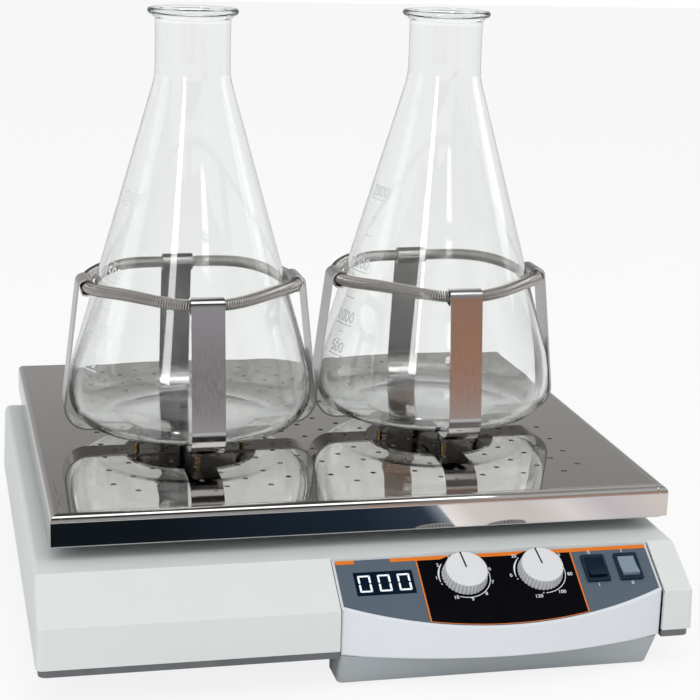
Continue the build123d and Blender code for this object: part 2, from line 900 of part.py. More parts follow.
def belt_loop(extra):
    """The outline of a belt that runs round both pulleys, grown by extra."""
    with BuildSketch() as loop:
        with Locations(drive_place):
            Circle(pulley_radius + belt_gap + extra)
        with Locations(motor_place):
            Circle(motor_pulley_radius + belt_gap + extra)
        make_hull()
    return loop.sketch


with BuildPart() as drive_belt:
    with BuildSketch(Plane.XY.offset(belt_bottom)):
        add(belt_loop(belt_thickness))
        add(belt_loop(0.0), mode=Mode.SUBTRACT)
    extrude(amount=belt_width)
write(drive_belt.part, "drive_belt")

write(screws(motor_screw_places, bracket_top, bracket_thickness + motor_screw_length), "motor_screws")

# Power supply box and mains inlet
with BuildPart() as power_supply:
    with BuildSketch(Plane.XY.offset(pan_floor)):
        with Locations(supply_place):
            RectangleRounded(*supply_size, supply_corner_radius)
    extrude(amount=supply_height)
write(power_supply.part, "power_supply")

blade_places = [
    (inlet_x - blade_spread, inlet_z - blade_offset),
    (inlet_x, inlet_z + blade_offset),
    (inlet_x + blade_spread, inlet_z - blade_offset),
]
with BuildPart() as power_inlet:
    with BuildSketch(Plane.XZ.offset(-housing_back)):
        with Locations((inlet_x, inlet_z)):
            Rectangle(inlet_size[0] - inlet_play, inlet_size[1] - inlet_play)
    extrude(amount=inlet_depth)
    with BuildSketch(Plane.XZ.offset(-housing_back)):
        with Locations((inlet_x, inlet_z)):
            RectangleRounded(*inlet_flange, 3.0)
    extrude(amount=-flange_lip)
    with BuildSketch(Plane.XZ.offset(-housing_back - flange_lip)):
        with Locations((inlet_x, inlet_z)):
            RectangleRounded(*socket_size, 2.0)
    extrude(amount=socket_depth, mode=Mode.SUBTRACT)
    with BuildSketch(Plane.XZ.offset(-housing_back - flange_lip + socket_depth)):
        with Locations(*blade_places):
            Rectangle(*blade_size)
    extrude(amount=-blade_length)
write(power_inlet.part, "power_inlet")

# Feet and fasteners
with BuildPart() as rubber_feet:
    for place in foot_places:
        with BuildSketch(Plane.XY):
            with Locations(place):
                Circle(foot_radius)
        with BuildSketch(Plane.XY.offset(foot_height)):
            with Locations(place):
                Circle(foot_top_radius)
        loft()
    with BuildSketch(Plane.XY):
        with Locations(*foot_places):
            Circle(screw_head_radius + 2 * screw_play)
    extrude(amount=foot_recess, mode=Mode.SUBTRACT)
    with BuildSketch(Plane.XY):
        with Locations(*foot_places):
            Circle(screw_radius + screw_play)
    extrude(amount=foot_height, mode=Mode.SUBTRACT)
write(rubber_feet.part, "rubber_feet")
foot_screw_length = foot_height - foot_recess + pan_plate + foot_screw_tail
write(screws(foot_places, foot_recess, foot_screw_length, up=-1), "foot_screws")
write(screws(post_places, pan_bottom, pan_plate + cover_screw_grip, up=-1), "cover_screws")
write(screws(drive_screws + idler_screws, pan_floor + flange_thickness, flange_thickness), "block_screws")

# Platform carrier: a stiff plate with a down-turned rim and bearing bosses under it
carrier_width = tray_width - 2 * (tray_sheet + carrier_fit)
carrier_depth = tray_depth - 2 * (tray_sheet + carrier_fit)
plate_bottom = carrier_top - carrier_plate_thickness
crank_boss = pin_bearing_radius + boss_wall
idler_boss = idler_seat_radius + boss_wall
idler_pin_places = [shifted(place) for place in idler_places]
tray_stud_x = carrier_width / 2 - tray_stud_inset
tray_stud_y = carrier_depth / 2 - tray_stud_inset
tray_stud_places = [
    (tray_x + dx, tray_y + dy)
    for dx in (-tray_stud_x, tray_stud_x)
    for dy in (-tray_stud_y, tray_stud_y)
]
window_places = [
    (tray_x + column * hole_pitch, tray_y + row * hole_pitch + hole_row_shift)
    for column, row in window_cells
]
stud_places = [
    around((tray_x + place[0], tray_y + place[1]), stud_circle, 4, 0.0) for place in clamp_places
]
all_studs = stud_places[0] + stud_places[1]

with BuildPart() as carrier_plate:
    with BuildSketch(Plane.XY.offset(carrier_bottom)):
        with Locations((tray_x, tray_y)):
            RectangleRounded(carrier_width, carrier_depth, carrier_corner_radius)
    extrude(amount=carrier_top - carrier_bottom)
    fillet(carrier_plate.faces().sort_by(Axis.Z)[-1].edges(), radius=tray_bend - tray_sheet)
    with BuildSketch(Plane.XY.offset(carrier_bottom)):
        with Locations((tray_x, tray_y)):
            Rectangle(carrier_width - 2 * carrier_rim, carrier_depth - 2 * carrier_rim)
    extrude(amount=plate_bottom - carrier_bottom, mode=Mode.SUBTRACT)
    with BuildSketch(Plane.XY.offset(plate_bottom - rib_drop)):
        with Locations((tray_x, tray_y)):
            Rectangle(carrier_width - carrier_rim, rib_thickness)
            Rectangle(rib_thickness, carrier_depth - carrier_rim)
    extrude(amount=rib_drop)
    with BuildSketch(Plane.XY.offset(upper_bearing_bottom)):
        with Locations(crank_pin):
            Circle(crank_boss)
        with Locations(*idler_pin_places):
            Circle(idler_boss)
    extrude(amount=plate_bottom - upper_bearing_bottom)
    with BuildSketch(Plane.XY.offset(upper_bearing_bottom)):
        with Locations(crank_pin):
            Circle(pin_bearing_radius)
        with Locations(*idler_pin_places):
            Circle(idler_seat_radius)
    extrude(amount=bearing_width, mode=Mode.SUBTRACT)
    with BuildSketch(Plane.XY.offset(upper_bearing_bottom)):
        with Locations(crank_pin):
            Circle(pin_radius + boss_lip)
        with Locations(*idler_pin_places):
            Circle(idler_pin_radius + boss_lip)
    extrude(amount=plate_bottom - upper_bearing_bottom, mode=Mode.SUBTRACT)
    with BuildSketch(Plane.XY.offset(plate_bottom)):
        with Locations(*tray_stud_places):
            Circle(stud_radius + screw_play)
        with Locations(*all_studs):
            Circle(stud_radius)
        with Locations(*window_places):
            RectangleRounded(carrier_window, carrier_window, window_corner_radius)
    extrude(amount=carrier_plate_thickness, mode=Mode.SUBTRACT)
write(carrier_plate.part, "carrier_plate")


def upper_bearings(pin, seat, places):
    """The platform's bearings on the eccentric pins, one at each place."""
    return ring(pin + running_gap, seat, upper_bearing_bottom, upper_bearing_top, places)


write(upper_bearings(pin_radius, pin_bearing_radius, [crank_pin]), "platform_bearing")
write(upper_bearings(idler_pin_radius, idler_seat_radius, idler_pin_places), "platform_idler_bearings")


def hex_nuts(places, bottom):
    """Hexagon nuts with a plain bore, one at each place."""
    with BuildPart() as nuts:
        with BuildSketch(Plane.XY.offset(bottom)):
            with Locations(*places):
                RegularPolygon(nut_across_flats / 2, 6, major_radius=False)
                Circle(stud_radius, mode=Mode.SUBTRACT)
        extrude(amount=nut_height)
    return nuts.part


with BuildPart() as tray_studs:
    with BuildSketch(Plane.XY.offset(plate_bottom - nut_height - stud_tail)):
        with Locations(*tray_stud_places):
            Circle(stud_radius)
    extrude(amount=carrier_plate_thickness + nut_height + stud_tail)
write(tray_studs.part, "tray_studs")
write(hex_nuts(tray_stud_places, plate_bottom - nut_height), "tray_nuts")

# Tray: thin bright sheet bent down on four sides, with staggered holes over its field
hole_places = []
for column in range(-hole_columns, hole_columns + 1):
    for row in range(-hole_rows, hole_rows + 1):
        x = tray_x + column * hole_pitch
        y = tray_y + row * hole_pitch + hole_row_shift
        near = min((x - stud[0]) ** 2 + (y - stud[1]) ** 2 for stud in all_studs)
        if (column + row) % 2 == 0 and near > (hole_radius + stud_radius + hole_stud_gap) ** 2:
            hole_places.append((x, y))


def bent_block(inset):
    """The tray's form, drawn in by inset: a low block whose top edges have the bend's radius."""
    with BuildPart() as block:
        with BuildSketch(Plane.XY.offset(tray_bottom)):
            with Locations((tray_x, tray_y)):
                Rectangle(tray_width - 2 * inset, tray_depth - 2 * inset)
        extrude(amount=tray_height - inset)
        fillet(block.faces().sort_by(Axis.Z)[-1].edges(), radius=tray_bend - inset)
    return block.part


with BuildPart() as tray:
    add(bent_block(0.0))
    add(bent_block(tray_sheet), mode=Mode.SUBTRACT)
    with BuildSketch(Plane.XY.offset(carrier_top)):
        with Locations(*hole_places):
            Circle(hole_radius)
        with Locations(*all_studs):
            Circle(stud_radius + screw_play)
    extrude(amount=tray_sheet, mode=Mode.SUBTRACT)
write(tray.part, "tray")

# Flask clamps: a sheet-metal cross whose four fingers end in rolls around a ring spring
strap_middle = tray_top + strap_level + strap_thickness / 2
roll_radius = roll_inner + strap_thickness / 2
ring_z = tray_top + ring_level
roll_tangent = (
    ring_radius + roll_radius * cos(radians(roll_start)),
    ring_z + roll_radius * sin(radians(roll_start)),
)
flask_bottom = tray_top + strap_level + strap_thickness + disc_thickness + flask_seat_gap

with BuildPart() as finger:
    with BuildSketch(Plane.XZ.offset(-strap_width / 2)):
        with BuildLine():
            FilletPolyline(
                (0, strap_middle),
                (strap_corner, strap_middle),
                roll_tangent,
                radius=strap_bend,
            )
            CenterArc((ring_radius, ring_z), roll_radius, roll_start, roll_sweep)
        trace(line_width=strap_thickness)
    extrude(amount=strap_width)

seat_disc_top = tray_top + strap_level + strap_thickness + disc_thickness
for side, place, studs in zip(side_names, clamp_places, stud_places):
    centre = (tray_x + place[0], tray_y + place[1])
    with BuildPart() as clamp:
        with Locations((centre[0], centre[1], 0)):
            with PolarLocations(0, 4):
                add(finger.part)
        with BuildSketch(Plane.XY.offset(tray_top + strap_level)):
            with Locations(*studs):
                Circle(stud_radius)
        extrude(amount=strap_thickness, mode=Mode.SUBTRACT)
    write(clamp.part, "clamp_" + side)
    with BuildPart() as spring:
        with BuildSketch(Plane.XZ.offset(-centre[1])):
            with Locations((centre[0] + ring_radius, ring_z)):
                Circle(spring_radius)
        revolve(axis=Axis((centre[0], centre[1], 0), (0, 0, 1)))
    write(spring.part, "clamp_spring_" + side)
    with BuildPart() as disc:
        with BuildSketch(Plane.XY.offset(seat_disc_top - disc_thickness)):
            with Locations(centre):
                Circle(disc_radius)
            with Locations(*studs):
                Circle(stud_radius, mode=Mode.SUBTRACT)
        extrude(amount=disc_thickness)
    write(disc.part, "clamp_disc_" + side)
    with BuildPart() as stud_group:
        with BuildSketch(Plane.XY.offset(plate_bottom)):
            with Locations(*studs):
                Circle(stud_radius)
        extrude(amount=seat_disc_top - plate_bottom)
    write(stud_group.part, "clamp_studs_" + side)
    with BuildPart() as nuts:
        with BuildSketch(Plane.XY.offset(tray_top)):
            with Locations(*studs):
                Circle(washer_radius)
                Circle(stud_radius, mode=Mode.SUBTRACT)
        extrude(amount=washer_thickness)
        add(hex_nuts(studs, tray_top + washer_thickness))
    write(nuts.part, "clamp_nuts_" + side)


# Flasks: conical glass vessels with a beaded rim, one in each clamp
cone_slope = (shoulder_radius - cone_top_radius) / (cone_top_height - shoulder_height)
blend_height = (cone_top_radius - neck_radius) / tan(atan(cone_slope) / 2)
flask_top = flask_bottom + flask_height
rim_height = 4.0


def flask_form(inset, top):
    """The flask's half profile, drawn in by inset, turned about the z axis up to top."""
    radius = flask_radius - inset
    shoulder = (shoulder_radius - inset, flask_bottom + shoulder_height)
    cone_top = (cone_top_radius - inset, flask_bottom + cone_top_height)
    neck_foot = (neck_radius - inset, cone_top[1] + blend_height)
    with BuildPart() as form:
        with BuildSketch(Plane.XZ):
            with BuildLine():
                Line((0, flask_bottom + inset), (flask_base_radius, flask_bottom + inset))
                EllipticalCenterArc(
                    (flask_base_radius, flask_bottom + belly_height),
                    radius - flask_base_radius,
                    belly_height - inset,
                    start_angle=270,
                    arc_size=90,
                )
                TangentArc((radius, flask_bottom + belly_height), shoulder, tangent=(0, 1))
                Line(shoulder, cone_top)
                TangentArc(cone_top, neck_foot, tangent=(-cone_slope, 1))
                Line(neck_foot, (neck_radius - inset, top))
                Line((neck_radius - inset, top), (0, top))
                Line((0, top), (0, flask_bottom + inset))
            make_face()
        revolve(axis=Axis.Z)
    return form.part


with BuildPart() as vessel:
    add(flask_form(0.0, flask_top))
    with BuildSketch(Plane.XY.offset(flask_top - rim_height)):
        Circle(rim_radius)
    extrude(amount=rim_height)
    rim_edges = vessel.edges().filter_by(GeomType.CIRCLE).filter_by(
        lambda edge: abs(edge.radius - rim_radius) < 0.01
    )
    fillet(rim_edges, radius=rim_height / 2 - 0.1)
    add(flask_form(flask_wall, flask_top + 1.0), mode=Mode.SUBTRACT)

for side, place in zip(side_names, clamp_places):
    write(Location((tray_x + place[0], tray_y + place[1], 0)) * vessel.part, "flask_" + side)
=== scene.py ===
"""Looks of the platform shaker: finishes, glass flasks, coiled clamp springs, panel print and the studio."""
import json
from math import cos, pi, radians, sin, sqrt

import bmesh
import bpy
from mathutils import Matrix, Vector


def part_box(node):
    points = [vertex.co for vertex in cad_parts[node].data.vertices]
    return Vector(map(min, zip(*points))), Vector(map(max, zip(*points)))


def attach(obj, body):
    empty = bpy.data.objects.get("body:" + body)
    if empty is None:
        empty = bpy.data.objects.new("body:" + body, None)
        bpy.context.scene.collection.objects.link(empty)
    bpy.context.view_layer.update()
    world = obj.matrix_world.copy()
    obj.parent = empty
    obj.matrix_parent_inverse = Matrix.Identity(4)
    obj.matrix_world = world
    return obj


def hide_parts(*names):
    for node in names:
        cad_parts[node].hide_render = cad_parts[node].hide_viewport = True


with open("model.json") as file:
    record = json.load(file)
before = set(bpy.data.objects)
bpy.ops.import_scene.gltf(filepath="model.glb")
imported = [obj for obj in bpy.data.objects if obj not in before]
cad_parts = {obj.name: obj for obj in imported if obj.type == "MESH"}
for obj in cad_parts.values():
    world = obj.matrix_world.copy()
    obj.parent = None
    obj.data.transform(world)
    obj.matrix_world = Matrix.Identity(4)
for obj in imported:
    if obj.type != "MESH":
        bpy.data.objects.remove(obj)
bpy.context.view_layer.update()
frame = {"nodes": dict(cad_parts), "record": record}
nodes = frame["nodes"]

MM = 0.001
SLOPE = radians(31.0)

# Camera, in the photograph's place
CAMERA_PLACE = Vector((-0.26195, -1.19694, 0.48118))
CAMERA_AZIMUTH = radians(-13.428)
CAMERA_ELEVATION = radians(14.452)
CAMERA_ROLL = radians(1.749)
SENSOR_MM = 36.0
LENS_MM = 94.1


def add_camera():
    """The camera at the photograph's viewing angle."""
    forward = Vector((
        -sin(CAMERA_AZIMUTH) * cos(CAMERA_ELEVATION),
        cos(CAMERA_AZIMUTH) * cos(CAMERA_ELEVATION),
        -sin(CAMERA_ELEVATION),
    ))
    level_right = forward.cross(Vector((0, 0, 1))).normalized()
    level_up = level_right.cross(forward)
    right = level_right * cos(CAMERA_ROLL) + level_up * sin(CAMERA_ROLL)
    up = level_up * cos(CAMERA_ROLL) - level_right * sin(CAMERA_ROLL)
    data = bpy.data.cameras.new("camera")
    data.sensor_width = SENSOR_MM
    data.lens = LENS_MM
    data.clip_start = 0.01
    data.clip_end = 100.0
    camera = bpy.data.objects.new("camera", data)
    turn = Matrix((right, up, -forward)).transposed().to_4x4()
    camera.matrix_world = Matrix.Translation(CAMERA_PLACE) @ turn
    bpy.context.scene.collection.objects.link(camera)
    bpy.context.scene.camera = camera


# Materials
def new_material(name):
    """An empty node material and its Principled shader."""
    material = bpy.data.materials.new(name)
    material.use_nodes = True
    shader = material.node_tree.nodes["Principled BSDF"]
    return material, shader


def add_node(material, kind, **settings):
    """A shader node with its properties set."""
    made = material.node_tree.nodes.new(kind)
    for key, value in settings.items():
        setattr(made, key, value)
    return made


def join(material, output, socket):
    """Links an output to a socket."""
    material.node_tree.links.new(output, socket)


def object_place(material, stretch=(1, 1, 1)):
    """Object coordinates, stretched along the axes."""
    place = add_node(material, "ShaderNodeTexCoord")
    mapping = add_node(material, "ShaderNodeMapping")
    mapping.inputs["Scale"].default_value = stretch
    join(material, place.outputs["Object"], mapping.inputs["Vector"])
    return mapping.outputs["Vector"]


def noise(material, scale, detail=3.0, rough=0.5, stretch=(1, 1, 1)):
    """A noise value over the object's own coordinates."""
    texture = add_node(material, "ShaderNodeTexNoise")
    texture.inputs["Scale"].default_value = scale
    texture.inputs["Detail"].default_value = detail
    texture.inputs["Roughness"].default_value = rough
    join(material, object_place(material, stretch), texture.inputs["Vector"])
    return texture.outputs["Fac"]


def spread(material, value, low, high, start=0.3, end=0.7):
    """Maps a value between start and end onto low to high."""
    mapper = add_node(material, "ShaderNodeMapRange")
    mapper.inputs["From Min"].default_value = start
    mapper.inputs["From Max"].default_value = end
    mapper.inputs["To Min"].default_value = low
    mapper.inputs["To Max"].default_value = high
    join(material, value, mapper.inputs["Value"])
    return mapper.outputs["Result"]


def arithmetic(material, operation, first, second=0.0):
    """One sum on values or sockets."""
    made = add_node(material, "ShaderNodeMath", operation=operation)
    for socket, value in zip(made.inputs, (first, second)):
        if isinstance(value, (int, float)):
            socket.default_value = value
        else:
            join(material, value, socket)
    return made.outputs["Value"]


def tint(material, value, dark, light):
    """A colour between two colours."""
    mix = add_node(material, "ShaderNodeMix", data_type="RGBA")
    mix.inputs["A"].default_value = (*dark, 1)
    mix.inputs["B"].default_value = (*light, 1)
    join(material, value, mix.inputs["Factor"])
    return mix.outputs["Result"]


def bump(material, shader, height, strength, distance, under=None):
    """A bump from a height value, over another bump if one is given."""
    made = add_node(material, "ShaderNodeBump")
    made.inputs["Strength"].default_value = strength
    made.inputs["Distance"].default_value = distance
    join(material, height, made.inputs["Height"])
    if under:
        join(material, under, made.inputs["Normal"])
    join(material, made.outputs["Normal"], shader.inputs["Normal"])
    return made.outputs["Normal"]


def srgb(red, green, blue):
    """A colour written in 0 to 255 display values, as linear light."""
    def linear(value):
        share = value / 255.0
        return share / 12.92 if share <= 0.04045 else ((share + 0.055) / 1.055) ** 2.4
    return (linear(red), linear(green), linear(blue))


def coated(name, dark, light, rough, grain=900.0, relief=0.00004, mottling=14.0, gloss=0.5):
    """A painted or moulded surface: faint colour mottling, a fine grain, and a little gloss change."""
    material, shader = new_material(name)
    broad = noise(material, mottling, 2.0)
    join(material, tint(material, broad, dark, light), shader.inputs["Base Color"])
    join(material, spread(material, noise(material, 60.0), rough * 0.85, rough * 1.15), shader.inputs["Roughness"])
    bump(material, shader, noise(material, grain, 2.0), 0.25, relief)
    shader.inputs["Specular IOR Level"].default_value = gloss
    return material


def metal(name, dark, light, rough, stretch=(1, 1, 1), grain=700.0, relief=0.000008):
    """A bare metal with a drawn grain along one axis."""
    material, shader = new_material(name)
    shader.inputs["Metallic"].default_value = 1.0
    lines = noise(material, grain, 3.0, 0.6, stretch)
    broad = noise(material, 9.0, 2.0)
    join(material, tint(material, broad, dark, light), shader.inputs["Base Color"])
    join(material, spread(material, lines, rough * 0.75, rough * 1.3), shader.inputs["Roughness"])
    bump(material, shader, lines, 0.2, relief)
    return material


CREASE_IN = 0.0065
CREASE_DOWN = 0.0045
CREASE_HALF = 0.0005


def polished_tray():
    """Polished sheet steel: a slow wave in the mirror, faint wipe marks, and the lines where the folds begin."""
    material, shader = new_material("tray_steel")
    shader.inputs["Metallic"].default_value = 1.0
    low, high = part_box("tray")
    broad = noise(material, 7.0, 2.0)
    join(material, tint(material, broad, (0.50, 0.485, 0.47), (0.55, 0.535, 0.52)), shader.inputs["Base Color"])
    wipes = noise(material, 55.0, 4.0, 0.65, (1.0, 0.25, 1.0))
    join(material, spread(material, wipes, 0.022, 0.05), shader.inputs["Roughness"])
    wave = bump(material, shader, noise(material, 11.0, 1.0), 0.5, 0.00012)
    place = add_node(material, "ShaderNodeTexCoord")
    split = add_node(material, "ShaderNodeSeparateXYZ")
    join(material, place.outputs["Object"], split.inputs["Vector"])
    nearest = None
    creases = (
        ("X", low.x + CREASE_IN), ("X", high.x - CREASE_IN),
        ("Y", low.y + CREASE_IN), ("Y", high.y - CREASE_IN),
        ("Z", high.z - CREASE_DOWN),
    )
    for axis, line in creases:
        gap = arithmetic(material, "ABSOLUTE", arithmetic(material, "SUBTRACT", split.outputs[axis], line))
        nearest = arithmetic(material, "MINIMUM", nearest, gap) if nearest else gap
    ridge = spread(material, nearest, 1.0, 0.0, 0.0, CREASE_HALF)
    bump(material, shader, ridge, 0.6, 0.00009, wave)
    return material


# The knobs' white in two random tones, and a third colour that is painted shade for the grooves round their skirts.
KNOB_DARK, KNOB_LIGHT, KNOB_GROOVE_SHADE = srgb(219, 221, 223), srgb(224, 226, 228), srgb(186, 188, 192)
KNOB_ROUGH = 0.35

MATERIALS = {
    "pan_steel": metal("pan_steel", (0.17, 0.18, 0.19), (0.22, 0.23, 0.24), 0.4, grain=120.0),
    "housing_paint": coated("housing_paint", srgb(221, 226, 225), srgb(225, 230, 229), 0.42),
    "collar_rubber": coated("collar_rubber", (0.02, 0.02, 0.02), (0.03, 0.03, 0.03), 0.7),
    "console_white": coated("console_white", srgb(225, 230, 235), srgb(229, 233, 238), 0.36),
    "pedestal_grey": coated("pedestal_grey", srgb(172, 178, 182), srgb(178, 184, 188), 0.45),
    "overlay_film": coated("overlay_film", srgb(84, 98, 111), srgb(88, 102, 115), 0.4, relief=0.00001, gloss=0.25),
    "window_dark": coated("window_dark", srgb(1, 20, 38), srgb(3, 24, 44), 0.15, relief=0.000002, gloss=0.25),
    "module_black": coated("module_black", (0.01, 0.01, 0.01), (0.02, 0.02, 0.02), 0.5),
    "board_green": coated("board_green", (0.01, 0.09, 0.03), (0.02, 0.12, 0.05), 0.4),
    "control_metal": metal("control_metal", (0.5, 0.5, 0.52), (0.6, 0.6, 0.62), 0.35),
    "spindle_steel": metal("spindle_steel", (0.55, 0.55, 0.56), (0.65, 0.65, 0.66), 0.25),
    "knob_white": coated("knob_white", KNOB_DARK, KNOB_LIGHT, KNOB_ROUGH),
    "switch_black": coated("switch_black", srgb(13, 36, 54), srgb(17, 42, 61), 0.32, gloss=0.25),
    "rocker_navy": coated("rocker_navy", srgb(2, 26, 44), srgb(5, 32, 52), 0.25, gloss=0.15),
    "rocker_grey": coated("rocker_grey", srgb(124, 141, 157), srgb(132, 149, 165), 0.28),
    "cast_grey": metal("cast_grey", (0.45, 0.45, 0.46), (0.55, 0.55, 0.56), 0.45),
    "bearing_steel": metal("bearing_steel", (0.55, 0.55, 0.56), (0.68, 0.68, 0.69), 0.2),
    "shaft_steel": metal("shaft_steel", (0.5, 0.5, 0.51), (0.62, 0.62, 0.63), 0.22),
    "weight_iron": coated("weight_iron", (0.05, 0.05, 0.052), (0.08, 0.08, 0.083), 0.55, grain=400.0, relief=0.0001),
    "belt_rubber": coated("belt_rubber", (0.012, 0.012, 0.012), (0.02, 0.02, 0.02), 0.6),
    "motor_black": coated("motor_black", (0.015, 0.015, 0.016), (0.025, 0.025, 0.026), 0.4),
    "supply_sheet": metal("supply_sheet", (0.4, 0.41, 0.42), (0.5, 0.51, 0.52), 0.4),
    "inlet_black": coated("inlet_black", (0.012, 0.012, 0.012), (0.018, 0.018, 0.018), 0.3),
    "screw_steel": metal("screw_steel", (0.5, 0.5, 0.5), (0.65, 0.65, 0.65), 0.3),
    "foot_rubber": coated("foot_rubber", (0.012, 0.012, 0.012), (0.02, 0.02, 0.02), 0.65),
    "carrier_metal": metal("carrier_metal", srgb(196, 200, 200), srgb(206, 210, 210), 0.4),
    "tray_steel": polished_tray(),
    "clamp_steel": metal(
        "clamp_steel", (0.44, 0.43, 0.43), (0.50, 0.49, 0.49), 0.14, stretch=(1, 1, 0.04), grain=1600.0,
    ),
    "spring_steel": metal("spring_steel", (0.44, 0.42, 0.40), (0.54, 0.52, 0.50), 0.16),
    "stud_brass": metal("stud_brass", (0.62, 0.44, 0.20), (0.72, 0.54, 0.28), 0.22),
    "nut_steel": metal("nut_steel", (0.55, 0.55, 0.55), (0.68, 0.68, 0.68), 0.18),
}
PRINT_BLACK = coated("print_black", srgb(2, 3, 8), srgb(4, 5, 11), 0.35, relief=0.000004, gloss=0.06)
PRINT_ORANGE = coated("print_orange", srgb(228, 117, 20), srgb(233, 124, 27), 0.38, relief=0.000004, gloss=0.3)
PRINT_WHITE = coated("print_white", srgb(226, 229, 233), srgb(234, 237, 240), 0.4, relief=0.000002, gloss=0.3)
# Painted shade for the joint gaps at the console's two ends: olive at the right, dark at the left.
GAP_SHADE_OLIVE = coated("gap_shade_olive", srgb(114, 118, 108), srgb(122, 126, 116), 0.6)
GAP_SHADE_DARK = coated("gap_shade_dark", srgb(56, 54, 50), srgb(64, 62, 58), 0.6)
PRINT_POINTER = coated("print_pointer", srgb(20, 21, 24), srgb(28, 29, 32), 0.4, relief=0.000004, gloss=0.3)


def glass_material():
    """Clear laboratory glass, slightly grey-green where the wall is seen along its length."""
    material, shader = new_material("flask_glass")
    shader.inputs["Base Color"].default_value = (1, 1, 1, 1)
    shader.inputs["Transmission Weight"].default_value = 1.0
    shader.inputs["IOR"].default_value = 1.47
    join(material, spread(material, noise(material, 30.0), 0.0, 0.008), shader.inputs["Roughness"])
    bump(material, shader, noise(material, 9.0, 1.0), 0.12, 0.0004)
    body = add_node(material, "ShaderNodeVolumeAbsorption")
    body.inputs["Color"].default_value = (0.74, 0.80, 0.76, 1)
    body.inputs["Density"].default_value = 65.0
    join(material, body.outputs["Volume"], material.node_tree.nodes["Material Output"].inputs["Volume"])
    return material


def digit_material():
    """Lit display segments, their white varying a little at random."""
    material, shader = new_material("digit_white")
    shades = noise(material, 260.0, 1.0)
    join(material, tint(material, shades, srgb(226, 233, 240), srgb(246, 249, 252)), shader.inputs["Base Color"])
    shader.inputs["Emission Color"].default_value = (*srgb(225, 235, 245), 1)
    shader.inputs["Emission Strength"].default_value = 0.3
    return material


MATERIALS["flask_glass"] = glass_material()
DIGIT_WHITE = digit_material()


def dress_nodes():
    """Gives every carried-over solid its slot's finish."""
    slots = {row["node"]: row["material_slot"] for row in frame["record"]["subparts"]}
    for name, piece in nodes.items():
        piece.data.materials.clear()
        piece.data.materials.append(MATERIALS[slots[name]])


# Helpers for new pieces
def add_piece(name, mesh, body, slot, material=None, smooth=True):
    """A new piece that rides on a body, with its slot's finish."""
    piece = bpy.data.objects.new(name, mesh)
    bpy.context.scene.collection.objects.link(piece)
    mesh.materials.append(material or MATERIALS[slot])
    if smooth:
        mesh.shade_smooth()
    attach(piece, body)
    return piece


def grid_mesh(name, rows, close_rows=False, close_columns=False):
    """A quad mesh over rows of points; either way round may close on itself."""
    mesh = bpy.data.meshes.new(name)
    count, width = len(rows), len(rows[0])
    points = [point for row in rows for point in row]
    faces = []
    for i in range(count if close_rows else count - 1):
        for j in range(width if close_columns else width - 1):
            a, b = i * width + j, i * width + (j + 1) % width
            c, d = ((i + 1) % count) * width + (j + 1) % width, ((i + 1) % count) * width + j
            faces.append((a, b, c, d))
    mesh.from_pydata(points, [], faces)
    mesh.update()
    return mesh


def middle(name):
    """The middle of a node's box."""
    low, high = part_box(name)
    return (low + high) / 2


# Flasks: turned glass with a thick base, an even wall and a beaded rim
FLASK_STEPS = 144
CONE_FOOT = (80.2, 44.0)
CONE_TOP = (26.8, 229.0)
CONE_SLOPE = (CONE_TOP[0] - CONE_FOOT[0]) / (CONE_TOP[1] - CONE_FOOT[1])
FLASK_PROFILE = [
    # radius and height of the outside, in millimetres above the flask's own foot
    (0.0, 1.6), (40.0, 0.9), (58.0, 0.0), (64.0, 0.1), (70.0, 1.3), (75.5, 4.2), (79.8, 9.0), (82.2, 15.0),
    (83.0, 22.0), (82.6, 29.0), (81.6, 37.0), CONE_FOOT, CONE_TOP, (25.6, 235.0), (25.0, 242.0),
    (25.0, 270.5), (25.6, 273.5), (27.4, 275.6), (29.2, 276.4), (30.0, 277.8), (29.6, 279.4), (28.0, 280.0),
    (25.6, 279.6), (23.6, 278.0), (22.7, 275.0), (22.6, 242.0), (23.2, 234.6), (24.4, 228.4), (77.9, 43.6),
    (79.2, 37.0), (80.2, 29.0), (80.5, 22.0), (79.6, 15.6), (77.2, 10.2), (73.4, 6.2), (68.4, 3.9), (62.0, 3.0),
    (40.0, 3.2), (0.0, 3.9),
]
LONG_SPAN = 100.0
LONG_SPAN_STEPS = 12
LONG_SPAN_PULL = 0.04


def smooth_line(points, per_span=4):
    """Points on a curve through the given ones, with the long straight spans kept straight."""
    result = []
    last = len(points) - 1
    for i in range(last):
        a, b = points[i], points[i + 1]
        if abs(b[1] - a[1]) > LONG_SPAN:
            steps = LONG_SPAN_STEPS
            result += [(a[0] + (b[0] - a[0]) * k / steps, a[1] + (b[1] - a[1]) * k / steps) for k in range(steps)]
            continue
        before = points[i - 1] if i else a
        after = points[i + 2] if i + 2 <= last else b
        if i and abs(a[1] - before[1]) > LONG_SPAN:
            pull = LONG_SPAN_PULL
            before = (a[0] + (before[0] - a[0]) * pull, a[1] + (before[1] - a[1]) * pull)
        if i + 2 <= last and abs(after[1] - b[1]) > LONG_SPAN:
            pull = LONG_SPAN_PULL
            after = (b[0] + (after[0] - b[0]) * pull, b[1] + (after[1] - b[1]) * pull)
        for k in range(per_span):
            t = k / per_span
            weights = (
                (-t + 2 * t * t - t ** 3) / 2,
                (2 - 5 * t * t + 3 * t ** 3) / 2,
                (t + 4 * t * t - 3 * t ** 3) / 2,
                (-t * t + t ** 3) / 2,
            )
            four = (before, a, b, after)
            result.append(tuple(sum(w * p[axis] for w, p in zip(weights, four)) for axis in (0, 1)))
    result.append(points[-1])
    return result


